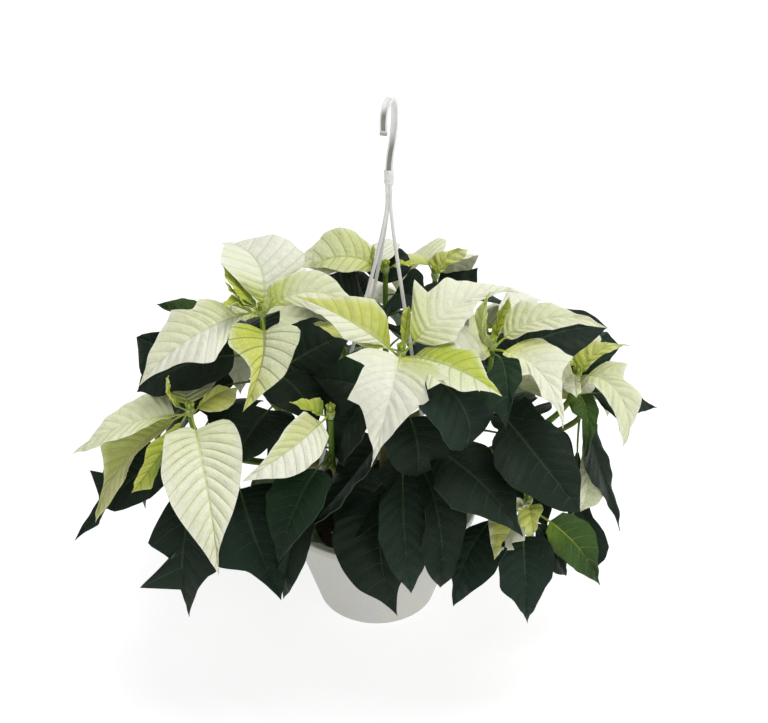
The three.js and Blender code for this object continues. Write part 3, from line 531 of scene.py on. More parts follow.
    "back_left": {
        "plant": "left",
        "at": (-140, 74, 278),
        "bracts": [],
        "leaves": [
            leaf(0.8, (-235, 30, 289), 8, "14 24 16, 40 44 18, 72 52 14, 93 38 6", "dark", roll=-42),
            leaf(0.9, (-214, 40, 320), 40, "12 12 16, 38 12 24, 62 9 22, 82 7 10", "fresh", roll=-20),
        ],
        "ruled": {"bracts": (70, 120, 168, 235, 15), "leaves": (95, 150, 205, 50)},
    },
    "back": {
        "plant": "back",
        "at": (-50, 180, 255),
        "bracts": [],
        "leaves": [],
        "ruled": {"bracts": (85, 150, 215, 20, 290), "leaves": (60, 120, 180, 240, 95)},
    },
    "back_far_right": {
        "plant": "back",
        "at": (130, 130, 240),
        "bracts": [],
        "leaves": [],
        "ruled": {"bracts": (45, 110, 345, 170, 240), "leaves": (20, 75, 130, 320, 50)},
    },
}


# ---------- small helpers ----------
def mix(a, b, t):
    """The value at t between a and b."""
    return a + (b - a) * t


def ease(t):
    """A smooth step from 0 to 1."""
    t = min(1.0, max(0.0, t))
    return t * t * (3 - 2 * t)


def ramp(value, low, high):
    """A smooth step from 0 at the low value to 1 at the high one."""
    return ease((value - low) / (high - low))


def chance(seed):
    """A number from 0 to 1 that is always the same for the same seed."""
    x = math.sin(seed * 12.9898) * 43758.5453
    return x - math.floor(x)


def linear(colour):
    """An 8-bit sRGB colour as a linear one."""
    shares = (c / 255 for c in colour)
    return tuple(s / 12.92 if s <= 0.04045 else ((s + 0.055) / 1.055) ** 2.4 for s in shares)


def tone(name):
    """A named tone as a linear colour vector."""
    return Vector(linear(TONES[name]))


def pick(things, seed):
    """One of the things, always the same for the same seed."""
    return things[int(chance(seed) * len(things))]


def bezier(start, middle, end, t):
    """The point at t of a quadratic curve."""
    return start * (1 - t) ** 2 + middle * 2 * t * (1 - t) + end * t * t


def centripetal(points, share):
    """The point at a share of the way on a smooth curve through the points."""
    last = len(points) - 1
    k = min(last - 1, int(share * last))
    t = share * last - k
    before = points[k - 1] if k else points[0] * 2 - points[1]
    after = points[k + 2] if k + 2 <= last else points[last] * 2 - points[last - 1]
    start, end = points[k], points[k + 1]
    d0, d1, d2 = (math.sqrt((b - a).length) for a, b in ((before, start), (start, end), (end, after)))
    out = ((start - before) / d0 - (end - before) / (d0 + d1) + (end - start) / d1) * d1
    into = ((end - start) / d1 - (after - start) / (d1 + d2) + (after - end) / d2) * d1
    return (
        start * (1 + 2 * t) * (1 - t) ** 2 + out * t * (1 - t) ** 2
        + end * t * t * (3 - 2 * t) - into * t * t * (1 - t)
    )


def ring(sides):
    """The corners of a regular section of radius 1."""
    turns = [2 * math.pi * k / sides for k in range(sides)]
    return [(math.cos(turn), math.sin(turn)) for turn in turns]


# ---------- mesh makers ----------
def frames_along(points, radii):
    """Frames along a path that don't twist, scaled across to the radii."""
    frames = []
    last = len(points) - 1
    first = (points[1] - points[0]).normalized()
    across = Vector((1, 0, 0)) if abs(first.x) < 0.8 else Vector((0, 1, 0))
    for k, (point, radius) in enumerate(zip(points, radii)):
        along = (points[min(k + 1, last)] - points[max(k - 1, 0)]).normalized()
        across = (across - along * across.dot(along)).normalized()
        up = along.cross(across)
        place = Matrix((across * radius, up * radius, along)).transposed().to_4x4()
        place.translation = point
        frames.append(place)
    return frames


def faces_of(verts):
    """The faces that the vertices belong to."""
    return {face for vert in verts for face in vert.link_faces}


def sweep(bm, section, frames):
    """Carries a closed section through the frames, closes both ends, and returns its vertices.
    The section is a list of corners, or a function that gives them for the share of the way."""
    corners = section if callable(section) else lambda share: section
    face = bm.faces.new([bm.verts.new(frames[0] @ Vector((x, y, 0))) for x, y in corners(0.0)])
    verts = list(face.verts)
    for step, place in enumerate(frames[1:], 1):
        made = bmesh.ops.extrude_face_region(bm, geom=[face])["geom"]
        end = next(item for item in made if isinstance(item, bmesh.types.BMFace))
        for vert, (x, y) in zip(end.verts, corners(step / (len(frames) - 1))):
            vert.co = place @ Vector((x, y, 0))
        if step > 1:
            bm.faces.remove(face)
        verts += end.verts
        face = end
    bmesh.ops.recalc_face_normals(bm, faces=list(faces_of(verts)))
    return verts


def tube(bm, points, radii, sides):
    """A closed round bar along a path."""
    return sweep(bm, ring(sides), frames_along(points, radii))


def turned(bm, profile, steps, place=Matrix.Identity(4)):
    """A closed turned piece: the profile, given as radius and height, is spun round the upright axis."""
    start = [bm.verts.new((radius, 0, height)) for radius, height in profile]
    edges = [bm.edges.new(pair) for pair in zip(start, start[1:])]
    made = bmesh.ops.spin(
        bm, geom=start + edges, angle=2 * math.pi, steps=steps, use_merge=True,
        axis=(0, 0, 1), cent=(0, 0, 0),
    )
    verts = {v for v in start if v.is_valid}
    reached = list(verts)
    while reached:
        for edge in reached.pop().link_edges:
            for vert in edge.verts:
                if vert not in verts:
                    verts.add(vert)
                    reached.append(vert)
    poles = [v for v in verts if math.hypot(v.co.x, v.co.y) < ON_AXIS]
    bmesh.ops.remove_doubles(bm, verts=poles, dist=10 * ON_AXIS)
    verts = [v for v in verts if v.is_valid]
    bmesh.ops.recalc_face_normals(bm, faces=list(faces_of(verts)))
    bmesh.ops.transform(bm, matrix=place, verts=verts)
    return verts


def bevelled(bm, edges, offset, segments=3):
    """Rounds the edges."""
    bmesh.ops.bevel(
        bm, geom=edges, offset=offset, affect="EDGES", segments=segments, profile=0.5, material=-1,
    )


def sharp_edges(bm, angle):
    """The edges that fold more than the angle."""
    bm.normal_update()
    return [e for e in bm.edges if len(e.link_faces) == 2 and e.calc_face_angle(0) > angle]


def join(whole, part):
    """Moves a part's mesh into the whole."""
    mesh = bpy.data.meshes.new("part")
    part.to_mesh(mesh)
    part.free()
    whole.from_mesh(mesh)
    bpy.data.meshes.remove(mesh)


def painted(verts, layer, colour):
    """Gives the vertices one colour."""
    for vert in verts:
        vert[layer] = (*colour, 1)


def finished(name, bm, materials):
    """Makes the piece of the mesh: in metres, smooth, riding on the root body, in place of its node."""
    bmesh.ops.scale(bm, vec=(MM, MM, MM), verts=bm.verts)
    mesh = bpy.data.meshes.new(name)
    bm.to_mesh(mesh)
    bm.free()
    for material in materials:
        mesh.materials.append(material)
    mesh.shade_smooth()
    mesh.set_sharp_from_angle(angle=SHARP)
    piece = bpy.data.objects.new(name + "_piece", mesh)
    bpy.context.scene.collection.objects.link(piece)
    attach(piece, "root")
    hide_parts(name)
    return piece


# ---------- materials ----------
def add_node(tree, kind, inputs=None, **settings):
    """A shader node with its settings. An input is a value, or a socket to link."""
    made = tree.nodes.new("ShaderNode" + kind)
    for key, value in settings.items():
        setattr(made, key, value)
    for key, value in (inputs or {}).items():
        if isinstance(value, bpy.types.NodeSocket):
            tree.links.new(value, made.inputs[key])
        else:
            made.inputs[key].default_value = value
    return made


def new_material(name):
    """An empty node material and its tree."""
    material = bpy.data.materials.new(name)
    material.use_nodes = True
    material.node_tree.nodes.clear()
    return material, material.node_tree


def finish_material(material, shader_inputs, colour, roughness, height, bump_size, bump_strength):
    """Joins the colour, roughness and bump to the material's shader."""
    tree = material.node_tree
    bump = add_node(tree, "Bump", {"Height": height, "Distance": bump_size, "Strength": bump_strength})
    shader = add_node(
        tree, "BsdfPrincipled",
        {"Base Color": colour, "Roughness": roughness, "Normal": bump.outputs[0], **shader_inputs},
    )
    out = add_node(tree, "OutputMaterial")
    tree.links.new(shader.outputs[0], out.inputs[0])
    return material


def object_noise(tree, scale, detail=3.0, roughness=0.55):
    """Noise in the object's own space. The scale is in waves per metre."""
    place = add_node(tree, "TexCoord").outputs["Object"]
    return add_node(
        tree, "TexNoise", {"Vector": place, "Scale": scale, "Detail": detail, "Roughness": roughness}
    ).outputs["Fac"]


def graded(tree, value, low, high, to_low=0.0, to_high=1.0):
    """The value carried smoothly from one range to another."""
    return add_node(
        tree, "MapRange",
        {"Value": value, "From Min": low, "From Max": high, "To Min": to_low, "To Max": to_high},
        interpolation_type="SMOOTHSTEP",
    ).outputs["Result"]


def maths(tree, operation, a, b=0.0, c=0.0):
    """One sum of two or three values."""
    return add_node(tree, "Math", {0: a, 1: b, 2: c}, operation=operation).outputs[0]


MIX_FACTOR, MIX_FIRST, MIX_SECOND, MIX_RESULT = 0, 6, 7, 2  # the sockets of a Mix node set to colours


def blended(tree, factor, a, b):
    """Two colours mixed by a factor. A colour is a value, or a socket to link."""
    first, second = (c if isinstance(c, bpy.types.NodeSocket) else (*c, 1.0) for c in (a, b))
    inputs = {MIX_FACTOR: factor, MIX_FIRST: first, MIX_SECOND: second}
    return add_node(tree, "Mix", inputs, data_type="RGBA").outputs[MIX_RESULT]


def blade_material(name, look):
    """The skin of a bract or leaf: its paint, its veins along the blade's own map, and its fine net."""
    material, tree = new_material(name)
    paint = add_node(tree, "Attribute", attribute_name="paint")
    ribs = add_node(tree, "Attribute", attribute_name="ribs")
    spot = add_node(tree, "SeparateXYZ", {0: add_node(tree, "UVMap", uv_map="blade").outputs[0]})
    across = maths(tree, "ABSOLUTE", maths(tree, "MULTIPLY_ADD", spot.outputs[0], 2.0, -1.0))
    beside = maths(tree, "PINGPONG", spot.outputs[1], 0.5)
    reach = graded(tree, across, 0.0, 1.0, look["vein_base"], look["vein_end"])
    lateral = graded(tree, maths(tree, "DIVIDE", beside, reach), 0.25, 1.0, 1.0, 0.0)
    midrib = graded(tree, across, 0.02, 0.07, 1.0, 0.0)
    place = add_node(tree, "TexCoord").outputs["Object"]
    net = add_node(
        tree, "TexVoronoi", {"Vector": place, "Scale": look["net_scale"]}, feature="DISTANCE_TO_EDGE",
    ).outputs["Distance"]
    net = maths(tree, "MULTIPLY", graded(tree, net, 0.0, 0.14, 1.0, 0.0), look["net"])
    veins = maths(tree, "MAXIMUM", maths(tree, "MAXIMUM", lateral, midrib), net)
    shown = maths(tree, "MULTIPLY", veins, ribs.outputs["Alpha"])
    broad = object_noise(tree, look["mottle_scale"], 4.0)
    fine = object_noise(tree, look["mottle_scale"] * 9, 2.0)
    mottle = graded(tree, broad, 0.42, 0.72, 0.0, look["mottle"])
    fleck = graded(tree, fine, 0.4, 0.75, 0.0, look["fleck"])
    base = blended(tree, mottle, paint.outputs["Color"], look["mottle_tone"])
    base = blended(tree, fleck, base, look["fleck_tone"])
    colour = blended(tree, shown, base, ribs.outputs["Color"])
    grain = maths(tree, "MULTIPLY", fine, 0.35)
    uneven = graded(tree, object_noise(tree, look["crinkle_scale"] * 0.5, 1.0), 0.35, 0.65, 0.2, 1.0)
    pillow = maths(tree, "MULTIPLY", graded(tree, beside, 0.0, 0.5, 0.0, look["pillow"]), uneven)
    crinkle = maths(tree, "MULTIPLY", object_noise(tree, look["crinkle_scale"], 2.0), look["crinkle"])
    raised = maths(tree, "ADD", maths(tree, "ADD", grain, pillow), crinkle)
    height = maths(tree, "SUBTRACT", raised, maths(tree, "MULTIPLY", veins, look["vein_depth"]))
    rough = graded(tree, fine, 0.3, 0.7, *look["rough"])
    gloss = {"Specular IOR Level": look["gloss"]}
    return finish_material(material, gloss, colour, rough, height, 0.0006, look["bump"])


# How the skin of a blade looks: how wide its side veins are at the midrib and at the rim, in shares of
# their distance; its net of fine veins; its mottling and flecks; and what its relief and gloss are.
# A bract's vein bands are drawn wide, so their tone is partly the veins' own colour and partly painted shade
# in the creases beside them.
BRACT_LOOK = {
    "vein_base": 0.13, "vein_end": 0.07, "net_scale": 300.0, "net": 0.30, "mottle_scale": 45.0,
    "mottle": 0.12, "mottle_tone": (0.72, 0.74, 0.50), "fleck": 0.06, "fleck_tone": (0.70, 0.72, 0.52),
    "vein_depth": 0.5, "pillow": 1.5, "crinkle": 1.8, "crinkle_scale": 160.0,
    "rough": (0.54, 0.66), "gloss": 0.25, "bump": 0.9,
}
LEAF_LOOK = {
    "vein_base": 0.06, "vein_end": 0.02, "net_scale": 260.0, "net": 0.14, "mottle_scale": 40.0,
    "mottle": 0.35, "mottle_tone": (0.010, 0.022, 0.012), "fleck": 0.15, "fleck_tone": (0.016, 0.032, 0.018),
    "vein_depth": 0.9, "pillow": 0.8, "crinkle": 1.0, "crinkle_scale": 160.0,
    "rough": (0.44, 0.56), "gloss": 0.10, "bump": 0.8,
}


def stem_material():
    """Green stems that are woody near the soil, with fine lengthwise streaks."""
    streak_tone, wart_tone = (0.05, 0.075, 0.02), (0.30, 0.30, 0.16)
    material, tree = new_material("stem")
    paint = add_node(tree, "Attribute", attribute_name="paint")
    drawn_out = add_node(
        tree, "Mapping", {"Vector": add_node(tree, "TexCoord").outputs["Object"], "Scale": (1, 1, 0.12)}
    ).outputs[0]
    grain = add_node(tree, "TexNoise", {"Vector": drawn_out, "Scale": 900.0, "Detail": 3.0}).outputs["Fac"]
    warts = object_noise(tree, 420.0)
    colour = blended(tree, graded(tree, grain, 0.35, 0.7, 0.0, 0.4), paint.outputs["Color"], streak_tone)
    colour = blended(tree, graded(tree, warts, 0.62, 0.7, 0.0, 0.35), colour, wart_tone)
    rough = graded(tree, warts, 0.3, 0.7, 0.5, 0.7)
    height = maths(tree, "ADD", grain, warts)
    return finish_material(material, {"Specular IOR Level": 0.3}, colour, rough, height, 0.0005, 0.5)


def flower_material():
    """The waxy skin of the small flowers."""
    ripe_tone = (0.50, 0.52, 0.05)
    material, tree = new_material("flower")
    paint = add_node(tree, "Attribute", attribute_name="paint")
    fine = object_noise(tree, 700.0)
    colour = blended(tree, graded(tree, fine, 0.4, 0.7, 0.0, 0.35), paint.outputs["Color"], ripe_tone)
    rough = graded(tree, fine, 0.3, 0.7, 0.3, 0.45)
    return finish_material(material, {"Specular IOR Level": 0.5}, colour, rough, fine, 0.0003, 0.4)


def pot_material(settings):
    """Matte plastic with a stone-like speckle of darker and lighter flecks."""
    cloud_tone, speck_tone, chip_tone = (0.60, 0.58, 0.52), (0.42, 0.41, 0.37), (0.93, 0.92, 0.88)
    material, tree = new_material("pot_plastic")
    place = add_node(tree, "TexCoord").outputs["Object"]
    cloud = object_noise(tree, 22.0, 4.0)
    speck = object_noise(tree, 900.0, 3.0, 0.7)
    chip = add_node(tree, "TexVoronoi", {"Vector": place, "Scale": 520.0}).outputs["Distance"]
    specks = graded(tree, speck, 0.52, 0.68, 0.0, settings.speckle)
    chips = graded(tree, chip, 0.08, 0.16, settings.speckle * 0.8, 0.0)
    base = blended(tree, graded(tree, cloud, 0.35, 0.7), settings.colour[:3], cloud_tone)
    base = blended(tree, chips, blended(tree, specks, base, speck_tone), chip_tone)
    rough = graded(tree, speck, 0.3, 0.7, 0.62, 0.82)
    return finish_material(material, {"Specular IOR Level": 0.35}, base, rough, speck, 0.0004, 0.4)


def hanger_material(settings):
    """Smooth white moulded plastic with faint flow marks, and painted shade where its attribute says so."""
    # the second tone is painted shade, laid on the hook's channels and its end where light doesn't reach
    flow_tone, painted_shade_tone = (0.80, 0.80, 0.78), (0.28, 0.28, 0.23)
    material, tree = new_material("hanger_plastic")
    flow = object_noise(tree, 60.0, 3.0)
    fine = object_noise(tree, 1500.0)
    colour = blended(tree, graded(tree, flow, 0.35, 0.7), settings.colour[:3], flow_tone)
    painted_shade = add_node(tree, "Attribute", attribute_name="painted_shade").outputs["Fac"]
    colour = blended(tree, painted_shade, colour, painted_shade_tone)
    rough = graded(tree, flow, 0.3, 0.7, 0.3, 0.44)
    return finish_material(material, {"Specular IOR Level": 0.5}, colour, rough, fine, 0.0002, 0.15)


def soil_material(name, dark, light, scale):
    """Crumbly potting mix, or a grain of it."""
    material, tree = new_material(name)
    crumb = object_noise(tree, scale, 5.0, 0.7)
    colour = blended(tree, graded(tree, crumb, 0.35, 0.7), dark, light)
    rough = graded(tree, crumb, 0.2, 0.8, 0.85, 1.0)
    return finish_material(material, {"Specular IOR Level": 0.15}, colour, rough, crumb, 0.0015, 0.8)


def floor_material(settings):
    """A plain pale surface with the faintest unevenness."""
    material, tree = new_material("floor")
    cloud = object_noise(tree, 1.5, 2.0)
    low = tuple(c * 0.985 for c in settings.floor_colour[:3])
    colour = blended(tree, graded(tree, cloud, 0.3, 0.7), settings.floor_colour[:3], low)
    rough = graded(tree, cloud, 0.3, 0.7, 0.8, 0.9)
    inputs = {
        "Specular IOR Level": 0.1, "Emission Color": (1, 1, 1, 1), "Emission Strength": settings.floor_glow,
    }
    return finish_material(material, inputs, colour, rough, cloud, 0.0005, 0.1)


# ---------- blades ----------
class Arc:
    """The arc of a petiole and midrib: it leaves the root at a rise and ends at the tip."""

    def __init__(self, root, tip, rise):
        reach = math.hypot(tip.x - root.x, tip.y - root.y)
        chord = math.hypot(reach, tip.z - root.z)
        off = math.radians(rise) - math.atan2(tip.z - root.z, reach)
        self.root = root
        self.rise = math.radians(rise)
        self.bend = 2 * off or 1e-6
        self.length = chord if abs(off) < 1e-6 else chord * off / math.sin(off)
        turn = math.atan2(tip.y - root.y, tip.x - root.x)
        self.heading = Vector((math.cos(turn), math.sin(turn), 0))
        self.level = Vector((-math.sin(turn), math.cos(turn), 0))

    def at(self, s, roll):
        """The place on the arc at s, the way to its left and the way up from it."""
        tilt = self.rise - self.bend * s
        out = self.length * (math.sin(self.rise) - math.sin(tilt)) / self.bend
        up = self.length * (math.cos(tilt) - math.cos(self.rise)) / self.bend
        place = self.root + self.heading * out + Vector((0, 0, up))
        face = self.heading * -math.sin(tilt) + Vector((0, 0, math.cos(tilt)))
        side = self.level * math.cos(roll) + face * math.sin(roll)
        normal = face * math.cos(roll) - self.level * math.sin(roll)
        return place, side, normal


def outline_of(text):
    """The rows of a named outline with its width, or of an outline of the plan's own, in millimetres."""
    name, width = text.split()[:2]
    if name in OUTLINES:
        return [(place, left * float(width), right * float(width)) for place, left, right in OUTLINES[name]]
    rows = [[float(number) for number in row.split()] for row in text.split(",")]
    middle = [(place / 100, left, right) for place, left, right in rows]
    return [(0, STALK_HALF, STALK_HALF), *middle, (1, 0, 0)]


def outline_slopes(places, widths):
    """The slopes in and out of each row of an outline. They differ only at its teeth and ends."""
    falls = [(b - a) / (q - p) for a, b, p, q in zip(widths, widths[1:], places, places[1:])]
    slopes = [(falls[0], falls[0] * BASE_SLOPE)]
    for before, after in zip(falls, falls[1:]):
        if before > 0 and after < TOOTH_FALL * max(widths):
            slopes.append((before * TOOTH_RISE, after * TOOTH_DROP))
        elif before * after <= 0:
            slopes.append((0.0, 0.0))
        else:
            even = 2 * before * after / (before + after)
            slopes.append((even, even))
    return slopes + [(falls[-1] * TIP_SLOPE, 0.0)]


def edge_of(outline, side):
    """One edge of an outline, the left (1) or the right (2): its places, half widths and slopes."""
    places = [row[0] for row in outline]
    widths = [row[side] for row in outline]
    return places, widths, outline_slopes(places, widths)


def half_width(edge, m):
    """The half width of an outline at m, by one of its edges."""
    places, widths, slopes = edge
    k = max(i for i, place in enumerate(places[:-1]) if place <= m)
    span = places[k + 1] - places[k]
    t = (m - places[k]) / span
    start = widths[k] * (1 + 2 * t) * (1 - t) ** 2 + widths[k + 1] * t * t * (3 - 2 * t)
    bent = slopes[k][1] * span * t * (1 - t) ** 2 - slopes[k + 1][0] * span * t * t * (1 - t)
    return max(0.0, start + bent)


def row_places(outline, count):
    """The places of the cross rows, evenly spaced but for those that meet a tooth or a notch."""
    rows = [k / count for k in range(count + 1)]
    places = [row[0] for row in outline[1:-1]]
    for place in places:
        near = min(range(1, count), key=lambda k: abs(rows[k] - place))
        steep = any(place - TOOTH_SPAN < other < place + TOOTH_SPAN and other != place for other in places)
        if steep and abs(rows[near] - place) < ROW_SHIFT / count:
            rows[near] = place
    return rows


VEIN_STEP = 9.5  # how far apart the side veins leave the midrib, in millimetres
VEINS_LEAST = 5
VEINS_MOST = {"bract": 14, "small": 14, "leaf": 11}
ROWS_PER_VEIN = 4
COLUMNS = {"bract": 16, "small": 12, "leaf": 16}
TOOTH_SPAN = 0.08  # rows of an outline that are nearer than this make a tooth or a notch
ROW_SHIFT = 0.6  # how far a cross row moves to meet one, in shares of the distance of the rows
VEIN_FORWARD = 0.7  # how far the side veins run forward to the rim
VEIN_CURVE = 1.25
CREST = 0.05  # how much each half arches, in shares of its width
EARS_BEGIN = 0.04  # the share of a blade over which its ears set in
CALM_BASE, CALM_TIP = 0.1, 0.12  # the shares at its ends over which its relief fades out
QUILT_ROUND = 0.8  # the roundness of the quilting between two veins
QUILT_RISE, QUILT_END = 0.6, 3  # how it rises from the midrib and ends at the rim
WAVES, RIPPLES, RIPPLE = 2.3, 6.1, 0.35  # waves and ripples along a rim, and a ripple's share of a wave
HALVES_MEET = 0.12  # how far from the midrib the two halves' paints run into each other
RIM_FROM, RIM_TO, RIM_SHARE = 0.8, 0.98, 0.8  # where the rim's paint sets in, and how strong it gets
PLAIN_SPOT = (0.8, 0.5)  # a spot of the blades' map that has no vein

# The stalk of a blade, in millimetres: the petiole, which is thicker on a longer blade, then the midrib.
STALK_STEPS, STALK_SIDES = 16, 8
STALK_END = 0.97  # the share of the arc at which the midrib ends
STALK_RADIUS, STALK_EXTRA, STALK_LONG = 0.75, 0.5, 110
STALK_THINS = 0.72  # its radius where the blade begins, in shares of that at the root
STALK_TIP, STALK_TAPER = 0.2, 0.7  # the midrib's radius at its tip, and how it gets there
STALK_SINKS = 0.45  # how far the midrib's middle lies below the blade's upper side
STALK_SETTLES = 0.1  # the share of the arc over which it sinks in


def mixed_paint(name):
    """A named paint with its tones as colour vectors."""
    left, right, vein, strength, rim = PAINTS[name]
    halves = [[tone(part) for part in half.split()] for half in (left, right)]
    return (*halves, tone(vein), strength, tone(rim))


class Blade:
    """One bract or leaf: where it is, its outline and how it is painted."""

    def __init__(self, row, root, kind, seed):
        values = {**PLAIN[kind], **row}
        self.arc = Arc(root, values["tip"], values["rise"])
        self.kind = kind
        self.seed = seed
        self.outline = outline_of(values["outline"])
        self.edges = [edge_of(self.outline, side) for side in (1, 2)]
        self.paint = mixed_paint(values["paint"])
        self.petiole = values["petiole"]
        self.fold = math.radians(values["fold"])
        self.roll = math.radians(values["roll"])
        self.sweep = values["sweep"]
        self.ears = values["ears"]
        self.quilt = values["quilt"]
        lamina = self.arc.length * (1 - self.petiole)
        self.veins = min(VEINS_MOST[kind], max(VEINS_LEAST, round(lamina / VEIN_STEP)))
        self.columns = COLUMNS[kind]

    def halves(self, m):
        """Its half widths at the margin position m, left and right, in millimetres."""
        return [half_width(edge, m) for edge in self.edges]

    def stalk_at(self, s):
        """The place, the left and the up of its stalk at s, with its sideways bow."""
        place, side, normal = self.arc.at(s, self.roll)
        return place + side * (4 * self.sweep * s * (1 - s)), side, normal

    def along(self, share):
        """The same at a share of its lamina."""
        return self.stalk_at(self.petiole + (1 - self.petiole) * share)

    def stalk_radius(self, share):
        """The radius of its stalk: a petiole that thins a little, then a midrib that runs out."""
        thick = STALK_RADIUS + STALK_EXTRA * min(1.0, self.arc.length / STALK_LONG)
        if share < self.petiole:
            return mix(thick, STALK_THINS * thick, share / self.petiole)
        past = (share - self.petiole) / (1 - self.petiole)
        return mix(STALK_THINS * thick, STALK_TIP, past**STALK_TAPER)

    def point(self, u, m, half, look):
        """The point of its skin at u across, from -1 to 1, in the cross row that meets the rim at m."""
        a = abs(u)
        rib = m * (1 - VEIN_FORWARD * (1 - m))
        share = rib + (m - rib) * a**VEIN_CURVE
        share -= self.ears * a * (1 - ease(m / EARS_END)) * ease(m / EARS_BEGIN)
        place, side, normal = self.along(share)
        between = abs(math.sin(math.pi * m * self.veins)) ** QUILT_ROUND
        calm = ease(m / CALM_BASE) * ease((1 - m) / CALM_TIP)
        quilt = self.quilt * look.quilt / MM * between * calm * a**QUILT_RISE * (1 - a**QUILT_END)
        phase = 2 * math.pi * chance(self.seed + (7 if u > 0 else 8))
        wave = look.wave / MM * a * a * calm * math.sin(2 * math.pi * m * WAVES + phase)
        ripple = RIPPLE * look.wave / MM * a**3 * calm * math.sin(2 * math.pi * m * RIPPLES + phase * 3)
        height = half * (a * math.sin(self.fold) + CREST * 4 * a * (1 - a)) + quilt + wave + ripple
        return place + side * (half * u * math.cos(self.fold)) + normal * height

    def colour(self, u, m):
        """Its paint at a spot: the tones of that half, the rim's, and the veins' with their strength."""
        left, right, vein, strength, rim = self.paint
        tones, other = (left, right) if u > 0 else (right, left)
        step = min(1, int(m * 2))
        t = ease(m * 2 - step)
        mine = tones[step].lerp(tones[step + 1], t)
        theirs = other[step].lerp(other[step + 1], t)
        mine = theirs.lerp(mine, 0.5 + 0.5 * ease(abs(u) / HALVES_MEET))
        return mine.lerp(rim, RIM_SHARE * ramp(abs(u), RIM_FROM, RIM_TO)), vein, strength


def add_blade(whole, blade, look):
    """Adds a blade to the mesh: a grid whose rows follow the side veins, bent and given thickness."""
    bm = blade_mesh()
    uv = bm.loops.layers.uv["blade"]
    paint = bm.verts.layers.float_color["paint"]
    ribs = bm.verts.layers.float_color["ribs"]
    count = blade.veins * ROWS_PER_VEIN
    rows = row_places(blade.outline, count)
    halves = [blade.halves(m) for m in rows]
    made = bmesh.ops.create_grid(bm, x_segments=blade.columns, y_segments=count, size=1)["verts"]
    faces = faces_of(made)
    spots = {}
    for vert in made:
        u = -vert.co.x
        row = round((vert.co.y + 1) / 2 * count)
        spots[vert] = (u, row)
        mine, vein, strength = blade.colour(u, rows[row])
        vert[paint] = (*mine, 1)
        vert[ribs] = (*vein, strength)
    for face in faces:
        for loop in face.loops:
            u, row = spots[loop.vert]
            loop[uv].uv = (0.5 + 0.5 * u, row / ROWS_PER_VEIN)
    for vert, (u, row) in spots.items():
        vert.co = blade.point(u, rows[row], halves[row][0 if u > 0 else 1], look)
    ends = [vert for vert, (u, row) in spots.items() if row in (0, count)]
    bmesh.ops.remove_doubles(bm, verts=ends, dist=1e-4)
    faces = [f for f in faces if f.is_valid]
    bm.normal_update()
    made = bmesh.ops.extrude_face_region(bm, geom=faces, use_keep_orig=True)["geom"]
    under = Vector(look.underside[:3])
    for item in made:
        if isinstance(item, bmesh.types.BMVert):
            item.co -= item.normal * look.thickness / MM
            item[paint] = (*Vector(item[paint][:3]).lerp(under, look.underside_share), 1)
    bmesh.ops.recalc_face_normals(bm, faces=bm.faces[:])
    if bm.calc_volume(signed=True) < 0:
        bmesh.ops.reverse_faces(bm, faces=bm.faces[:])
    add_stalk(bm, blade)
    join(whole, bm)


def add_stalk(bm, blade):
    """Adds the petiole and the midrib: one tapered stalk along the blade's arc."""
    points, radii = [], []
    for k in range(STALK_STEPS + 1):
        share = k / STALK_STEPS
        place, _, normal = blade.stalk_at(share * STALK_END)
        inside = ease((share - blade.petiole) / STALK_SETTLES)
        points.append(place - normal * STALK_SINKS * inside)
        radii.append(blade.stalk_radius(share))
    verts = tube(bm, points, radii, STALK_SIDES)
    left, _, vein, _, _ = blade.paint
    if blade.kind == "leaf":
        stalk = tone("green").lerp(vein, 0.35)
    else:
        stalk = tone("lime").lerp(tone("green"), 0.4)
    rib = vein.lerp(left[1], 0.35)
    paint = bm.verts.layers.float_color["paint"]
    ribs = bm.verts.layers.float_color["ribs"]
    for k, vert in enumerate(verts):
        share = (k // STALK_SIDES) / STALK_STEPS
        vert[paint] = (*stalk.lerp(rib, ease((share - blade.petiole * 0.8) / 0.25)), 1)
        vert[ribs] = (*rib, 0)
    map_plain(bm, verts)


def map_plain(bm, verts):
    """Maps the faces of the vertices to a spot without veins."""
    uv = bm.loops.layers.uv["blade"]
    for face in faces_of(verts):
        for loop in face.loops:
            loop[uv].uv = PLAIN_SPOT


# ---------- where the blades are ----------
class Head:
    """The top of a branch: its plan, its hub, its branch and the way that it leans."""

    def __init__(self, name, plan, index):
        self.name = name
        self.plan = plan
        self.seed = 100 * (index + 1)
        self.at = Vector(plan["at"])
        self.hub = self.at - Vector((0, 0, HUB_HEIGHT / 2))
        self.lean_turn = math.atan2(self.at.y, self.at.x)
        self.lean = min(1.0, math.hypot(self.at.x, self.at.y) / LEAN_REACH)

    def branch(self, t):
        """The point at t on its branch."""
        fork = PLANTS[self.plan["plant"]]["fork"]
        top = self.at - Vector((0, 0, HUB_HEIGHT + HUB_LIFT))
        bend = fork.lerp(top, BRANCH_PLUMB)
        bend.z = mix(fork.z, top.z, BRANCH_CLIMB)
        return bezier(fork, bend, top, t)

    def root(self, turn, count):
        """Where a bract leaves the hub: each on its own side, one above another."""
        step = HUB_HEIGHT * HUB_STAGGER * (count % 3 - 1)
        return self.hub + Vector((HUB_SEAT * math.cos(turn), HUB_SEAT * math.sin(turn), step))


ALL_HEADS = [Head(name, plan, index) for index, (name, plan) in enumerate(HEADS.items())]


def node_tree_of(node):
    """The vertices of a packed solid, in millimetres, to look up what is near."""
    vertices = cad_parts[node].data.vertices
    tree = KDTree(len(vertices))
    for k, vertex in enumerate(vertices):
        tree.insert(vertex.co / MM, k)
    tree.balance()
    return tree


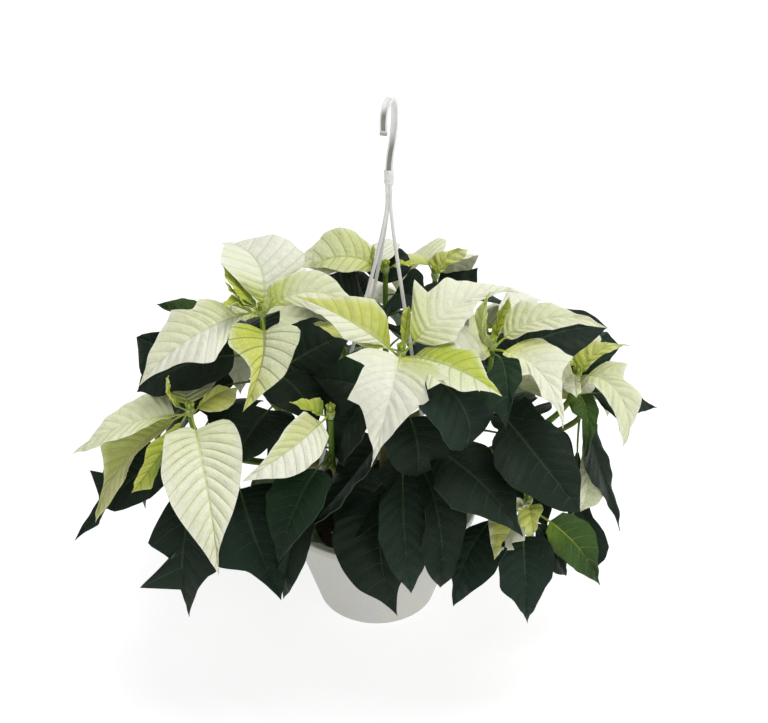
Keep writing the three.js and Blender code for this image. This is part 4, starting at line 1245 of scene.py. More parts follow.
def ruled_blade(head, kind, seed, root, turn, droop, tree):
    """The blade that the rule grew in the solid, or None where it left one out."""
    rule = RULE[kind]
    length = mix(*rule["length"], chance(seed + 1))
    for aside, lift in WAYS:
        heading = math.radians(turn + aside)
        outward = math.cos(heading - head.lean_turn) * head.lean
        scatter = mix(-SCATTER_DROOP, SCATTER_DROOP, chance(seed + 2))
        dip = math.radians(-droop - rule["tilt"] * outward + scatter + lift)
        reach = length * math.cos(dip)
        tip = root + Vector((reach * math.cos(heading), reach * math.sin(heading), length * math.sin(dip)))
        if tip.z < FLOOR_CLEAR or math.hypot(tip.x, tip.y) > SPREAD or tree.find(tip)[2] > TIP_NEAR:
            continue
        paints = RULED_BRACT_PAINTS if kind == "bract" else RULED_LEAF_PAINTS
        outline = f"{pick(rule['shapes'], seed + 3)} {length * rule['width']}"
        row = bract(
            tip, rule["rise"], outline, pick(paints, seed + 9),
            roll=mix(-SCATTER_ROLL, SCATTER_ROLL, chance(seed + 4)),
            sweep=mix(-SCATTER_SWEEP, SCATTER_SWEEP, chance(seed + 5)),
        )
        return Blade(row, root, kind, seed)
    return None


def bracts_of(head):
    """The bracts of a head: those of the plan and those by the rule."""
    blades = []
    for k, row in enumerate(head.plan["bracts"]):
        turn = math.atan2(row["tip"].y - head.at.y, row["tip"].x - head.at.x)
        kind = "small" if row["outline"].startswith("small") else "bract"
        blades.append(Blade(row, head.root(turn, k), kind, head.seed + 3 * k))
    tree = node_tree_of("bracts_" + head.name)
    for k, turn in enumerate(head.plan["ruled"]["bracts"]):
        root = head.root(math.radians(turn), len(head.plan["bracts"]) + k)
        droop = BRACT_DROOP + NEXT_DROOP * (k % 3)
        blades.append(ruled_blade(head, "bract", head.seed + 10 * k, root, turn, droop, tree))
    return [blade for blade in blades if blade]


def leaves_of(head, tree):
    """The leaves on a head's branch: those of the plan and those by the rule."""
    blades = [
        Blade(row, head.branch(row["at"]), "leaf", head.seed + 31 + 3 * k)
        for k, row in enumerate(head.plan["leaves"])
    ]
    turns = head.plan["ruled"]["leaves"]
    for k, turn in enumerate(turns):
        at = mix(LEAF_TO, LEAF_FROM, (k + 0.5) / len(turns))
        droop = LEAF_DROOP * (STEEPER_DOWN - at)
        seed = head.seed + 50 + 5 * k
        blades.append(ruled_blade(head, "leaf", seed, head.branch(at), turn, droop, tree))
    return [blade for blade in blades if blade]


def blade_mesh():
    """An empty mesh with the layers that the blades' skin reads."""
    bm = bmesh.new()
    bm.loops.layers.uv.new("blade")
    bm.verts.layers.float_color.new("paint")
    bm.verts.layers.float_color.new("ribs")
    return bm


# ---------- settings ----------
# What settings of one kind have in common.
LENGTH = {"subtype": "DISTANCE", "unit": "LENGTH"}
COLOUR = {"size": 3, "min": 0, "max": 1, "subtype": "COLOR"}
SHARE = {"min": 0, "max": 1, "subtype": "FACTOR"}


class PotSettings(bpy.types.PropertyGroup):
    """The pot."""

    foot: bpy.props.FloatProperty(
        name="Foot radius", description="Radius of the pot's foot", default=POT_FOOT * MM, **LENGTH,
    )
    wall: bpy.props.FloatProperty(
        name="Wall", description="Thickness of the pot's wall", default=POT_WALL * MM, **LENGTH,
    )
    speckle: bpy.props.FloatProperty(
        name="Speckle", description="How strongly the flecks show", default=0.6, **SHARE,
    )
    # the default is darker than the pale plastic: painted shade for the foliage that hangs over the pot
    colour: bpy.props.FloatVectorProperty(
        name="Colour", description="Colour of the plastic", default=(0.56, 0.57, 0.55), **COLOUR,
    )


class SoilSettings(bpy.types.PropertyGroup):
    """The potting mix."""

    below: bpy.props.FloatProperty(
        name="Below the rim", description="How far the potting mix stays below the rim",
        default=SOIL_BELOW * MM, **LENGTH,
    )
    crumbs: bpy.props.IntProperty(
        name="Crumbs", description="How many crumbs lie on the potting mix", default=420, min=0,
    )
    perlite: bpy.props.IntProperty(
        name="Perlite", description="How many white grains lie among the crumbs", default=30, min=0,
    )


class HangerSettings(bpy.types.PropertyGroup):
    """The hanger with its hook."""

    strand: bpy.props.FloatProperty(
        name="Strand radius", description="Radius of a strand", default=1.7 * MM, **LENGTH,
    )
    recess: bpy.props.FloatProperty(
        name="Recess", description="Depth of the channel in the hook's faces", default=1.0 * MM, **LENGTH,
    )
    colour: bpy.props.FloatVectorProperty(
        name="Colour", description="Colour of the plastic", default=(0.87, 0.87, 0.86), **COLOUR,
    )


class BractSettings(bpy.types.PropertyGroup):
    """The coloured bracts."""

    thickness: bpy.props.FloatProperty(
        name="Thickness", description="Thickness of a bract", default=0.7 * MM, **LENGTH,
    )
    quilt: bpy.props.FloatProperty(
        name="Quilting", description="How high a bract bulges between its side veins",
        default=0.9 * MM, **LENGTH,
    )
    wave: bpy.props.FloatProperty(
        name="Wave", description="How far the rim of a bract waves up and down", default=1.6 * MM, **LENGTH,
    )
    underside: bpy.props.FloatVectorProperty(
        name="Underside", description="Colour of a bract's underside", default=(0.62, 0.68, 0.36), **COLOUR,
    )
    underside_share: bpy.props.FloatProperty(
        name="Underside share", description="How far the underside differs from the upper side",
        default=0.45, **SHARE,
    )


class LeafSettings(bpy.types.PropertyGroup):
    """The green leaves and their stems."""

    thickness: bpy.props.FloatProperty(
        name="Thickness", description="Thickness of a leaf", default=0.7 * MM, **LENGTH,
    )
    quilt: bpy.props.FloatProperty(
        name="Quilting", description="How high a leaf bulges between its side veins",
        default=0.7 * MM, **LENGTH,
    )
    wave: bpy.props.FloatProperty(
        name="Wave", description="How far the rim of a leaf waves up and down", default=1.6 * MM, **LENGTH,
    )
    underside: bpy.props.FloatVectorProperty(
        name="Underside", description="Colour of a leaf's underside", default=(0.13, 0.19, 0.10), **COLOUR,
    )
    underside_share: bpy.props.FloatProperty(
        name="Underside share", description="How far the underside differs from the upper side",
        default=0.7, **SHARE,
    )


class FlowerSettings(bpy.types.PropertyGroup):
    """The small flowers in the middle of a head."""

    cups: bpy.props.IntProperty(
        name="Cups", description="How many flower cups a head has", default=4, min=1,
    )
    height: bpy.props.FloatProperty(
        name="Height", description="Height of a cup", default=6.2 * MM, **LENGTH,
    )
    colour: bpy.props.FloatVectorProperty(
        name="Colour", description="Colour of a cup", default=(0.30, 0.42, 0.06), **COLOUR,
    )


class StageSettings(bpy.types.PropertyGroup):
    """The floor, the light and the camera."""

    floor_colour: bpy.props.FloatVectorProperty(
        name="Floor", description="Colour of the floor", default=(0.42, 0.42, 0.42), **COLOUR,
    )
    floor_glow: bpy.props.FloatProperty(
        name="Floor glow", description="Brightness that the floor has of its own, which fades its shadows",
        default=0.76, min=0,
    )
    ambient: bpy.props.FloatProperty(
        name="Ambient", description="Brightness of the even light from all round", default=0.39, min=0,
    )
    key: bpy.props.FloatProperty(
        name="Key", description="Strength of the main light", default=1.8, min=0,
    )
    camera_pitch: bpy.props.FloatProperty(
        name="Camera pitch", description="How far the camera looks down",
        default=math.radians(29.8), subtype="ANGLE", unit="ROTATION",
    )
    camera_place: bpy.props.FloatVectorProperty(
        name="Camera", description="Where the camera stands",
        default=(0.0075, -1.173, 0.95), size=3, subtype="TRANSLATION", unit="LENGTH",
    )
    lens: bpy.props.FloatProperty(
        name="Lens", description="Focal length of the camera in millimetres", default=65.6, min=1,
    )


# ---------- operators ----------
POT_STEPS = 96
FOOT_CHAMFER = 3
FLOOR_FILLET = 2
LIP_TAPER = 0.6  # how much narrower the lip is below than above
LIP_CHAMFER = 1.2
POT_FOLD, POT_ROUND = math.radians(20), 0.7  # the pot's edges that are rounded, and by how much
DRAIN_SIDES = 24


class POINSETTIA_OT_pot(bpy.types.Operator):
    """Adds the pot: a turned shell with a rolled lip and drain holes"""

    bl_idname = "poinsettia.pot"
    bl_label = "Pot"

    def execute(self, context):
        settings = context.scene.poinsettia_pot
        foot = settings.foot / MM
        wall = settings.wall / MM
        under_lip = POT_HEIGHT - LIP_HEIGHT
        profile = [
            (0, 0), (foot - FOOT_CHAMFER, 0), (foot, FOOT_CHAMFER),
            (mix(foot, POT_TOP, under_lip / POT_HEIGHT), under_lip), (POT_RIM - LIP_TAPER, under_lip),
            (POT_RIM, POT_HEIGHT - LIP_CHAMFER), (POT_RIM - LIP_CHAMFER, POT_HEIGHT),
            (POT_TOP - wall, POT_HEIGHT), (foot - wall + FLOOR_FILLET, POT_FLOOR), (0, POT_FLOOR),
        ]
        bm = bmesh.new()
        turned(bm, profile, POT_STEPS)
        bevelled(bm, sharp_edges(bm, POT_FOLD), POT_ROUND)
        piece = finished("pot", bm, [pot_material(settings)])
        self.drill(context, piece)
        return {"FINISHED"}

    def drill(self, context, piece):
        """Cuts the drain holes through the floor."""
        cutter = bmesh.new()
        for k in range(DRAIN_HOLES):
            turn = 2 * math.pi * k / DRAIN_HOLES
            middle = Vector((DRAIN_RING * math.cos(turn), DRAIN_RING * math.sin(turn), POT_FLOOR / 2))
            bmesh.ops.create_cone(
                cutter, cap_ends=True, segments=DRAIN_SIDES,
                radius1=DRAIN_RADIUS * MM, radius2=DRAIN_RADIUS * MM,
                depth=4 * POT_FLOOR * MM, matrix=Matrix.Translation(middle * MM),
            )
        holes = bpy.data.meshes.new("drain_holes")
        cutter.to_mesh(holes)
        cutter.free()
        tool = bpy.data.objects.new("drain_holes", holes)
        context.scene.collection.objects.link(tool)
        cut = piece.modifiers.new("drain", "BOOLEAN")
        cut.operation = "DIFFERENCE"
        cut.object = tool
        context.view_layer.update()
        mesh = bpy.data.meshes.new_from_object(piece.evaluated_get(context.evaluated_depsgraph_get()))
        piece.modifiers.clear()
        piece.data = mesh
        bpy.data.objects.remove(tool)


SOIL_SLACK = 0.4  # the room between the potting mix and the wall, on top of the gap
SOIL_ROWS, SOIL_STEPS = 14, 72
SOIL_EDGE = 2  # the ring at the wall that stays even
SOIL_SKIN = 1  # points less than this below the mix's height belong to its top, which is lumpy
LUMPS = ((1.6, 0.09), (0.9, 0.35))  # how high the mix's lumps are, and how close together
CRUMB_SEED = 4
CRUMB_SIZES, GRAIN_SIZES = (0.9, 3.0), (1.2, 2.0)
CRUMB_EDGE = 4  # how far the crumbs stay from the wall
CRUMB_STANDS = 0.2  # how far a crumb's middle is above the mix, in shares of its size
CRUMB_ROUGH, CRUMB_FACETS = 0.45, 0.7
MIX_DARK, MIX_LIGHT = (0.012, 0.008, 0.005), (0.055, 0.036, 0.022)
GRAIN_DARK, GRAIN_LIGHT = (0.62, 0.61, 0.57), (0.86, 0.85, 0.82)


class POINSETTIA_OT_soil(bpy.types.Operator):
    """Adds the potting mix: a rough dome with crumbs and white grains"""

    bl_idname = "poinsettia.soil"
    bl_label = "Potting mix"

    def execute(self, context):
        settings = context.scene.poinsettia_soil
        low = POT_FLOOR + GAP
        high = POT_HEIGHT - settings.below / MM
        wall = POT_WALL + GAP + SOIL_SLACK
        below, above = (mix(POT_FOOT, POT_TOP, z / POT_HEIGHT) - wall for z in (low, high))
        shares = [k / SOIL_ROWS for k in range(SOIL_ROWS + 1)]
        dome = [(above * (1 - share), high + SOIL_CROWN * ease(share)) for share in shares]
        bm = bmesh.new()
        for vert in turned(bm, [(0, low), (below, low), *dome], SOIL_STEPS):
            radius = math.hypot(vert.co.x, vert.co.y)
            if vert.co.z > high - SOIL_SKIN and radius < above - SOIL_EDGE:
                vert.co.z += sum(rise * noise.noise(vert.co * close) for rise, close in LUMPS)
        draw = random.Random(CRUMB_SEED)
        noise.seed_set(CRUMB_SEED)  # the vector noise follows the clock unless it has a seed
        for k in range(settings.crumbs + settings.perlite):
            white = k >= settings.crumbs
            radius = math.sqrt(draw.random()) * (above - CRUMB_EDGE)
            turn = draw.random() * 2 * math.pi
            size = draw.uniform(*(GRAIN_SIZES if white else CRUMB_SIZES))
            place = Vector((radius * math.cos(turn), radius * math.sin(turn), 0))
            place.z = high + SOIL_CROWN * ease(1 - radius / above) + size * CRUMB_STANDS
            verts = bmesh.ops.create_icosphere(
                bm, subdivisions=1, radius=size, matrix=Matrix.Translation(place),
            )["verts"]
            for vert in verts:
                vert.co += noise.noise_vector(vert.co * CRUMB_FACETS) * size * CRUMB_ROUGH
            for face in faces_of(verts):
                face.material_index = 1 if white else 0
        mix_skin = soil_material("potting_mix", MIX_DARK, MIX_LIGHT, 700.0)
        grain_skin = soil_material("perlite", GRAIN_DARK, GRAIN_LIGHT, 1200.0)
        finished("soil", bm, [mix_skin, grain_skin])
        return {"FINISHED"}


CLIP_ROUND = 0.5
STRAND_STEPS, STRAND_SIDES = 36, 14
CLIP_INSET, CLIP_LIFT = 1, 2  # where a strand leaves its clip: in from the lip's edge and up from its top
STRAND_SPLAY = 1.3  # how much wider the strands stand where they part than in the collar
STRAND_SAG = 0.47  # the height of a strand's middle, in shares of its rise


class POINSETTIA_OT_strands(bpy.types.Operator):
    """Adds the three strands of the hanger, each with its clip on the pot's lip"""

    bl_idname = "poinsettia.strands"
    bl_label = "Hanger strands"

    def execute(self, context):
        settings = context.scene.poinsettia_hanger
        skin = hanger_material(settings)
        for index, turn in enumerate(STRAND_TURNS, 1):
            bm = bmesh.new()
            self.add_clip(bm, math.radians(turn))
            self.add_bar(bm, math.radians(turn), settings.strand / MM)
            finished(f"hanger_strand_{index}", bm, [skin])
        return {"FINISHED"}

    def add_clip(self, bm, turn):
        """The grip round the lip, drawn as radius and height and pulled out along the rim."""
        under = POT_HEIGHT - LIP_HEIGHT - GAP
        over = POT_HEIGHT + GAP
        low = under + GAP - CLIP_THICK
        grip = [
            (POT_RIM - CLIP_OVER, over), (POT_RIM + GAP, over), (POT_RIM + GAP, under),
            (POT_RIM - CLIP_UNDER, under), (POT_RIM - CLIP_UNDER, low), (POT_RIM + CLIP_THICK, low),
            (POT_RIM + CLIP_THICK, POT_HEIGHT + CLIP_TOP), (POT_RIM - CLIP_OVER, POT_HEIGHT + CLIP_TOP),
        ]
        stand = Matrix.Rotation(turn, 4, "Z") @ Matrix.Rotation(math.pi / 2, 4, "X")
        ends = [stand @ Matrix.Translation((0, 0, z)) for z in (-CLIP_WIDTH / 2, CLIP_WIDTH / 2)]
        sweep(bm, grip, ends)
        bevelled(bm, list(bm.edges), CLIP_ROUND, 2)

    def add_bar(self, bm, turn, radius):
        """The bar, which leaves the clip, sags a little and rises to the collar."""
        out = Vector((math.cos(turn), math.sin(turn), 0))
        low = out * (POT_RIM - CLIP_INSET) + Vector((0, 0, POT_HEIGHT + CLIP_LIFT))
        knee = COLLAR + out * STRAND_STAND * STRAND_SPLAY - Vector((0, 0, STRAND_PARALLEL))
        high = COLLAR + out * STRAND_STAND - Vector((0, 0, GAP))
        middle = low.lerp(knee, 0.5)
        middle.z = mix(low.z, knee.z, STRAND_SAG)
        knots = [low, middle, knee, high]
        points = [centripetal(knots, k / STRAND_STEPS) for k in range(STRAND_STEPS + 1)]
        tube(bm, points, [radius] * len(points), STRAND_SIDES)


HOOK_LEAN = 0.5  # how far its straight lengths lean
HOOK_SHANK = ((0, COLLAR_HEIGHT - 3), (3, 24), (10, 36), (HOOK_BEND - HOOK_LEAN, 50))  # out and up
SHANK_RINGS, BEND_RINGS = 20, 24
DROP_SHARES = (0.3, 0.55, 0.62, 0.8, 1.0)  # where the rings of its hanging end are
HOOK_RIB = 1.1  # the width of the raised rib at each edge of the strip
CHANNEL_SLOPE = 0.3
CHANNEL_BEGINS, CHANNEL_ENDS = (0.06, 0.12), (0.93, 0.95)  # in shares of the hook's rings
CHANNEL_CORNERS = (2, 3, 8, 9)  # the corners of its section that lie in a channel
HOOK_FOLD, HOOK_ROUND = math.radians(60), 0.22  # the edges that are rounded, and by how much
SHADE_FADES, SHADE_RETURNS = (7, 14), (37, 41)  # the rings between which the painted shade in the channels fades out and comes back
# the ring after which the channels have no painted shade, and the ring from which the hook's end is painted
# in shade as a whole, with how dark
SHADE_UNTIL = 47
END_RING, END_SHADE = 48, 0.8
COLLAR_STEPS = 48
COLLAR_GROOVE = (3.4, 4, 5, 5.6)  # the heights of the groove's edges
COLLAR_ROUND = 0.5


def painted_shade_at(row, corner):
    """How much painted shade the hook has at a corner of a ring: at its end, and in its channels where light
    doesn't reach.
    """
    if row >= END_RING:
        return END_SHADE
    if corner not in CHANNEL_CORNERS or row >= SHADE_UNTIL:
        return 0.0
    return max(1 - ramp(row, *SHADE_FADES), ramp(row, *SHADE_RETURNS))


class POINSETTIA_OT_hook(bpy.types.Operator):
    """Adds the hook: a ribbed strip that rises from its collar, swings out and turns over"""

    bl_idname = "poinsettia.hook"
    bl_label = "Hanger hook"

    def execute(self, context):
        settings = context.scene.poinsettia_hanger
        recess = settings.recess / MM
        bm = bmesh.new()
        painted_shade = bm.verts.layers.float.new("painted_shade")
        corners = len(self.section(0.0, recess))
        verts = sweep(bm, lambda share: self.section(share, recess), self.frames())
        # painted shade on the hook's channels and on its end
        for index, vert in enumerate(verts):
            vert[painted_shade] = painted_shade_at(*divmod(index, corners))
        bevelled(bm, sharp_edges(bm, HOOK_FOLD), HOOK_ROUND, 2)
        waist = COLLAR_RADIUS - COLLAR_ROUND
        low, low_in, high_in, high = COLLAR_GROOVE
        collar = [
            (0, 0), (waist, 0), (COLLAR_RADIUS, 0.6), (COLLAR_RADIUS, low), (waist, low_in), (waist, high_in),
            (COLLAR_RADIUS, high), (COLLAR_RADIUS, COLLAR_HEIGHT - 1), (COLLAR_RADIUS - 1, COLLAR_HEIGHT),
            (0, COLLAR_HEIGHT),
        ]
        turned(bm, collar, COLLAR_STEPS, Matrix.Translation(COLLAR))
        finished("hanger_hook", bm, [hanger_material(settings)])
        return {"FINISHED"}

    def path(self):
        """The middle of the strip, as a way out and a way up: the shank, the bend and the hanging end."""
        bend_height = HOOK_TOP - COLLAR.z - HOOK_BEND - HOOK_THICK / 2
        knots = [Vector(knot) for knot in (*HOOK_SHANK, (HOOK_BEND, bend_height))]
        path = [centripetal(knots, k / SHANK_RINGS) for k in range(SHANK_RINGS + 1)]
        for k in range(1, BEND_RINGS + 1):
            turn = math.pi * k / BEND_RINGS
            path.append(Vector((HOOK_BEND * math.cos(turn), bend_height + HOOK_BEND * math.sin(turn))))
        drop = Vector((HOOK_LEAN - HOOK_BEND, bend_height - HOOK_DROP))
        return path + [path[-1].lerp(drop, share) for share in DROP_SHARES]

    def frames(self):
        """The frames of the strip's section, which stands across the path and keeps level."""
        path = self.path()
        stand = Matrix.Translation(COLLAR) @ Matrix.Rotation(math.radians(HOOK_TURN), 4, "Z")
        level = stand.to_3x3() @ Vector((0, -1, 0))
        frames = []
        last = len(path) - 1
        for k, spot in enumerate(path):
            along = path[min(k + 1, last)] - path[max(k - 1, 0)]
            along = (stand.to_3x3() @ Vector((along.x, 0, along.y))).normalized()
            place = Matrix((level, along.cross(level), along)).transposed().to_4x4()
            place.translation = stand @ Vector((spot.x, 0, spot.y))
            frames.append(place)
        return frames

    def section(self, share, recess):
        """The strip's section at a share of the way, with a channel in both faces."""
        deep = recess * ramp(share, *CHANNEL_BEGINS) * (1 - ramp(share, *CHANNEL_ENDS))
        wide, half = HOOK_WIDTH / 2, HOOK_THICK / 2
        rib = wide - HOOK_RIB
        bed = rib - CHANNEL_SLOPE
        channel = [(-rib, half), (-bed, half - deep), (bed, half - deep), (rib, half)]
        upper = [(-wide, half), *channel, (wide, half)]
        return upper + [(-x, -y) for x, y in upper]


STEM_STEPS, STEM_SIDES = 24, 16
TRUNK_KNOTS, BRANCH_KNOTS = 7, 5
KNOT_SWELL = 0.09
WOODY_BELOW, GREEN_ABOVE = 120, 250  # the heights between which the bark gives way to green


class POINSETTIA_OT_leafy_stems(bpy.types.Operator):
    """Adds the three leafy stems: a trunk, its branches and their leaves"""

    bl_idname = "poinsettia.leafy_stems"
    bl_label = "Leafy stems"

    def execute(self, context):
        look = context.scene.poinsettia_leaf
        skins = [blade_material("leaf", LEAF_LOOK), stem_material()]
        for plant in PLANTS:
            node = "leafy_stem_" + plant
            tree = node_tree_of(node)
            bm = blade_mesh()
            for head in ALL_HEADS:
                if head.plan["plant"] == plant:
                    for blade in leaves_of(head, tree):
                        add_blade(bm, blade, look)
            for face in faces_of(self.add_stems(bm, plant)):
                face.material_index = 1
            finished(node, bm, skins)
        return {"FINISHED"}

    def add_stems(self, bm, plant):
        """The trunk and the branches, woody below and green above."""
        paint = bm.verts.layers.float_color["paint"]
        foot = Vector((*PLANTS[plant]["foot"], POT_HEIGHT - SOIL_BELOW - TRUNK_DEPTH))
        fork = PLANTS[plant]["fork"]
        bend = Vector((foot.x, foot.y, POT_HEIGHT + TRUNK_PLUMB))
        shares = [k / STEM_STEPS for k in range(STEM_STEPS + 1)]
        trunk = [bezier(foot, bend, fork, t) for t in shares]
        verts = self.add_stem(bm, trunk, TRUNK_RADIUS, FORK_RADIUS, TRUNK_KNOTS)
        for head in ALL_HEADS:
            if head.plan["plant"] == plant:
                branch = [head.branch(t) for t in shares]
                verts += self.add_stem(bm, branch, BRANCH_RADIUS, BRANCH_TIP, BRANCH_KNOTS)
        for vert in verts:
            old = 1 - ramp(vert.co.z, WOODY_BELOW, GREEN_ABOVE)
            vert[paint] = (*tone("green").lerp(tone("bark"), old), 1)
        return verts

    def add_stem(self, bm, points, start, end, knots):
        """One stem with a slight swelling at each of its knots."""
        last = len(points) - 1
        radii = []
        for k in range(last + 1):
            swell = KNOT_SWELL * max(0.0, math.cos(2 * math.pi * knots * k / last)) ** 3
            radii.append(mix(start, end, k / last) * (1 + swell))
        return tube(bm, points, radii, STEM_SIDES)


HUB_STEPS = 20
HUB_EGG = ((0.8, 0.3), (1, 0.7), (0.9, 0.94), (0.6, 1), (0, 1))  # in shares of its radius and height


class POINSETTIA_OT_bracts(bpy.types.Operator):
    """Adds the heads of bracts, each with the hub that they grow from"""

    bl_idname = "poinsettia.bracts"
    bl_label = "Bracts"

    def execute(self, context):
        look = context.scene.poinsettia_bract
        skin = blade_material("bract", BRACT_LOOK)
        for head in ALL_HEADS:
            bm = blade_mesh()
            for blade in bracts_of(head):
                add_blade(bm, blade, look)
            self.add_hub(bm, head)
            finished("bracts_" + head.name, bm, [skin])
        return {"FINISHED"}

    def add_hub(self, bm, head):
        """The swollen end of the branch."""
        egg = [(HUB_RADIUS * radius, HUB_HEIGHT * height) for radius, height in HUB_EGG]
        foot = Matrix.Translation(head.at - Vector((0, 0, HUB_HEIGHT)))
        verts = turned(bm, [(0, GAP), (BRANCH_TIP, GAP), *egg], HUB_STEPS, foot)
        painted(verts, bm.verts.layers.float_color["paint"], tone("green").lerp(tone("lime"), 0.5))
        map_plain(bm, verts)


FLOWER_SEAT = ((0, 0), (3.6, 0), (3.8, 0.8), (3.2, 1.6), (0, 1.8))
SEAT_STEPS, CUP_STEPS = 20, 16
CUP_OUT = 2.5  # how far the cups stand from the middle of the head
CUP_FOOT = ((0, 0), (0.9, 0.1))
# The egg of a cup above its foot: its radius in millimetres, at heights in shares of the cup's.
CUP_EGG = ((1.6, 0.35), (1.8, 0.6), (1.45, 0.85), (1.0, 0.95), (0.8, 0.9), (0, 0.84))
GLAND_AT, GLAND_SIZE = (1.45, 0.74), (0.75, 1.15, 0.6)
STAMENS = 5
STAMEN_FOOT, STAMEN_TOP = (0.45, 0.84), (0.85, 1.02)
STAMEN_RADII = [0.14, 0.1]
POLLEN_RADIUS = 0.26
GLAND_TONE, STAMEN_TONE, POLLEN_TONE = (0.72, 0.60, 0.04), (0.55, 0.60, 0.20), (0.75, 0.62, 0.08)


class POINSETTIA_OT_flowers(bpy.types.Operator):
    """Adds the small flowers: on each head a cluster of cups with yellow glands and stamens"""

    bl_idname = "poinsettia.flowers"
    bl_label = "Flowers"

    def execute(self, context):
        settings = context.scene.poinsettia_flower
        skin = flower_material()
        for head in ALL_HEADS:
            bm = bmesh.new()
            paint = bm.verts.layers.float_color.new("paint")
            base = Matrix.Translation(head.at + Vector((0, 0, GAP)))
            seat = turned(bm, FLOWER_SEAT, SEAT_STEPS, base)
            painted(seat, paint, tone("green"))
            for k in range(settings.cups):
                self.add_cup(bm, paint, base, settings, 2 * math.pi * k / settings.cups)
            finished("flowers_" + head.name, bm, [skin])
        return {"FINISHED"}

    def add_cup(self, bm, paint, base, settings, turn):
        """One cup: an egg with an open top, its gland on the outer side, and stamens in the mouth."""
        tall = settings.height / MM
        place = base @ Matrix.Rotation(turn, 4, "Z") @ Matrix.Translation((CUP_OUT, 0, 0))
        egg = [(radius, share * tall) for radius, share in CUP_EGG]
        painted(turned(bm, [*CUP_FOOT, *egg], CUP_STEPS, place), paint, settings.colour[:3])
        out, up = GLAND_AT
        gland = place @ Matrix.Translation((out, 0, up * tall)) @ Matrix.Diagonal((*GLAND_SIZE, 1))
        lip = bmesh.ops.create_icosphere(bm, subdivisions=2, radius=1, matrix=gland)["verts"]
        painted(lip, paint, GLAND_TONE)
        for x, y in ring(STAMENS):
            foot, top = (
                place @ Vector((out * x, out * y, up * tall)) for out, up in (STAMEN_FOOT, STAMEN_TOP)
            )
            painted(tube(bm, [foot, top], STAMEN_RADII, 5), paint, STAMEN_TONE)
            pollen = bmesh.ops.create_icosphere(
                bm, subdivisions=1, radius=POLLEN_RADIUS, matrix=Matrix.Translation(top),
            )
            painted(pollen["verts"], paint, POLLEN_TONE)


FLOOR_HALF = 8.0  # half the side of the floor, in metres
SENSOR_WIDTH = 36
# Where a light comes from, and how widely it is spread, in degrees.
KEY_FROM, KEY_SPREAD = (0.25, 0.2, 1.0), 35
FILL_FROM, FILL_SPREAD, FILL_SHARE = (0.8, -0.8, 0.5), 40, 0.36  # the share is of the main light's strength


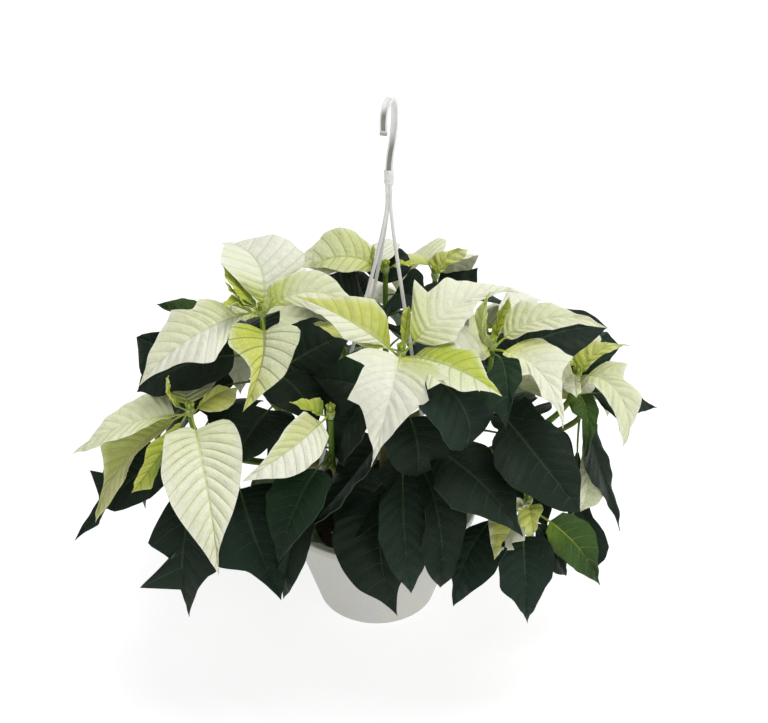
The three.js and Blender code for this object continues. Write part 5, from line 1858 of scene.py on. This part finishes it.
class POINSETTIA_OT_stage(bpy.types.Operator):
    """Adds the floor, the soft light and the camera"""

    bl_idname = "poinsettia.stage"
    bl_label = "Stage"

    def execute(self, context):
        settings = context.scene.poinsettia_stage
        scene = context.scene
        bm = bmesh.new()
        bmesh.ops.create_grid(bm, x_segments=4, y_segments=4, size=FLOOR_HALF)
        mesh = bpy.data.meshes.new("floor")
        bm.to_mesh(mesh)
        bm.free()
        mesh.materials.append(floor_material(settings))
        floor = bpy.data.objects.new("floor", mesh)
        scene.collection.objects.link(floor)
        world = bpy.data.worlds.new("studio")
        world.use_nodes = True
        backdrop = world.node_tree.nodes["Background"]
        backdrop.inputs["Color"].default_value = (1, 1, 1, 1)
        backdrop.inputs["Strength"].default_value = settings.ambient
        scene.world = world
        self.add_sun("key", settings.key, KEY_FROM, KEY_SPREAD)
        self.add_sun("fill", settings.key * FILL_SHARE, FILL_FROM, FILL_SPREAD)
        camera = bpy.data.objects.new("camera", bpy.data.cameras.new("camera"))
        camera.data.lens = settings.lens
        camera.data.sensor_width = SENSOR_WIDTH
        camera.data.sensor_fit = "HORIZONTAL"
        camera.location = settings.camera_place
        camera.rotation_euler = (math.pi / 2 - settings.camera_pitch, 0, 0)
        scene.collection.objects.link(camera)
        scene.camera = camera
        scene.view_settings.view_transform = "Standard"
        return {"FINISHED"}

    def add_sun(self, name, strength, way, spread):
        """A soft distant light that comes from the given way."""
        light = bpy.data.lights.new(name, "SUN")
        light.energy = strength
        light.angle = math.radians(spread)
        lamp = bpy.data.objects.new(name, light)
        lamp.rotation_euler = Vector(way).to_track_quat("Z", "Y").to_euler()
        bpy.context.scene.collection.objects.link(lamp)


STEPS = (
    POINSETTIA_OT_pot,
    POINSETTIA_OT_soil,
    POINSETTIA_OT_strands,
    POINSETTIA_OT_hook,
    POINSETTIA_OT_leafy_stems,
    POINSETTIA_OT_bracts,
    POINSETTIA_OT_flowers,
    POINSETTIA_OT_stage,
)
GROUPS = {
    "poinsettia_pot": PotSettings,
    "poinsettia_soil": SoilSettings,
    "poinsettia_hanger": HangerSettings,
    "poinsettia_leaf": LeafSettings,
    "poinsettia_bract": BractSettings,
    "poinsettia_flower": FlowerSettings,
    "poinsettia_stage": StageSettings,
}


class POINSETTIA_PT_panel(bpy.types.Panel):
    """Lists the settings and the pieces"""

    bl_idname = "POINSETTIA_PT_panel"
    bl_label = "Potted Poinsettia"
    bl_space_type = "VIEW_3D"
    bl_region_type = "UI"
    bl_category = "Poinsettia"

    def draw(self, context):
        for name, group in GROUPS.items():
            box = self.layout.box()
            box.label(text=group.__doc__)
            settings = getattr(context.scene, name)
            for key in group.__annotations__:
                box.prop(settings, key)
        for step in STEPS:
            self.layout.operator(step.bl_idname)


def register():
    """Registers the classes and gives the scene their settings."""
    for item in (*GROUPS.values(), *STEPS, POINSETTIA_PT_panel):
        bpy.utils.register_class(item)
    for name, group in GROUPS.items():
        setattr(bpy.types.Scene, name, bpy.props.PointerProperty(type=group))


def unregister():
    """Takes the settings and the classes away again."""
    for name in GROUPS:
        delattr(bpy.types.Scene, name)
    for item in reversed((*GROUPS.values(), *STEPS, POINSETTIA_PT_panel)):
        bpy.utils.unregister_class(item)


def main():
    """Registers the classes and builds every piece in order."""
    register()
    bpy.ops.poinsettia.pot()
    bpy.ops.poinsettia.soil()
    bpy.ops.poinsettia.strands()
    bpy.ops.poinsettia.hook()
    bpy.ops.poinsettia.leafy_stems()
    bpy.ops.poinsettia.bracts()
    bpy.ops.poinsettia.flowers()
    bpy.ops.poinsettia.stage()


if __name__ == "__main__":
    main()
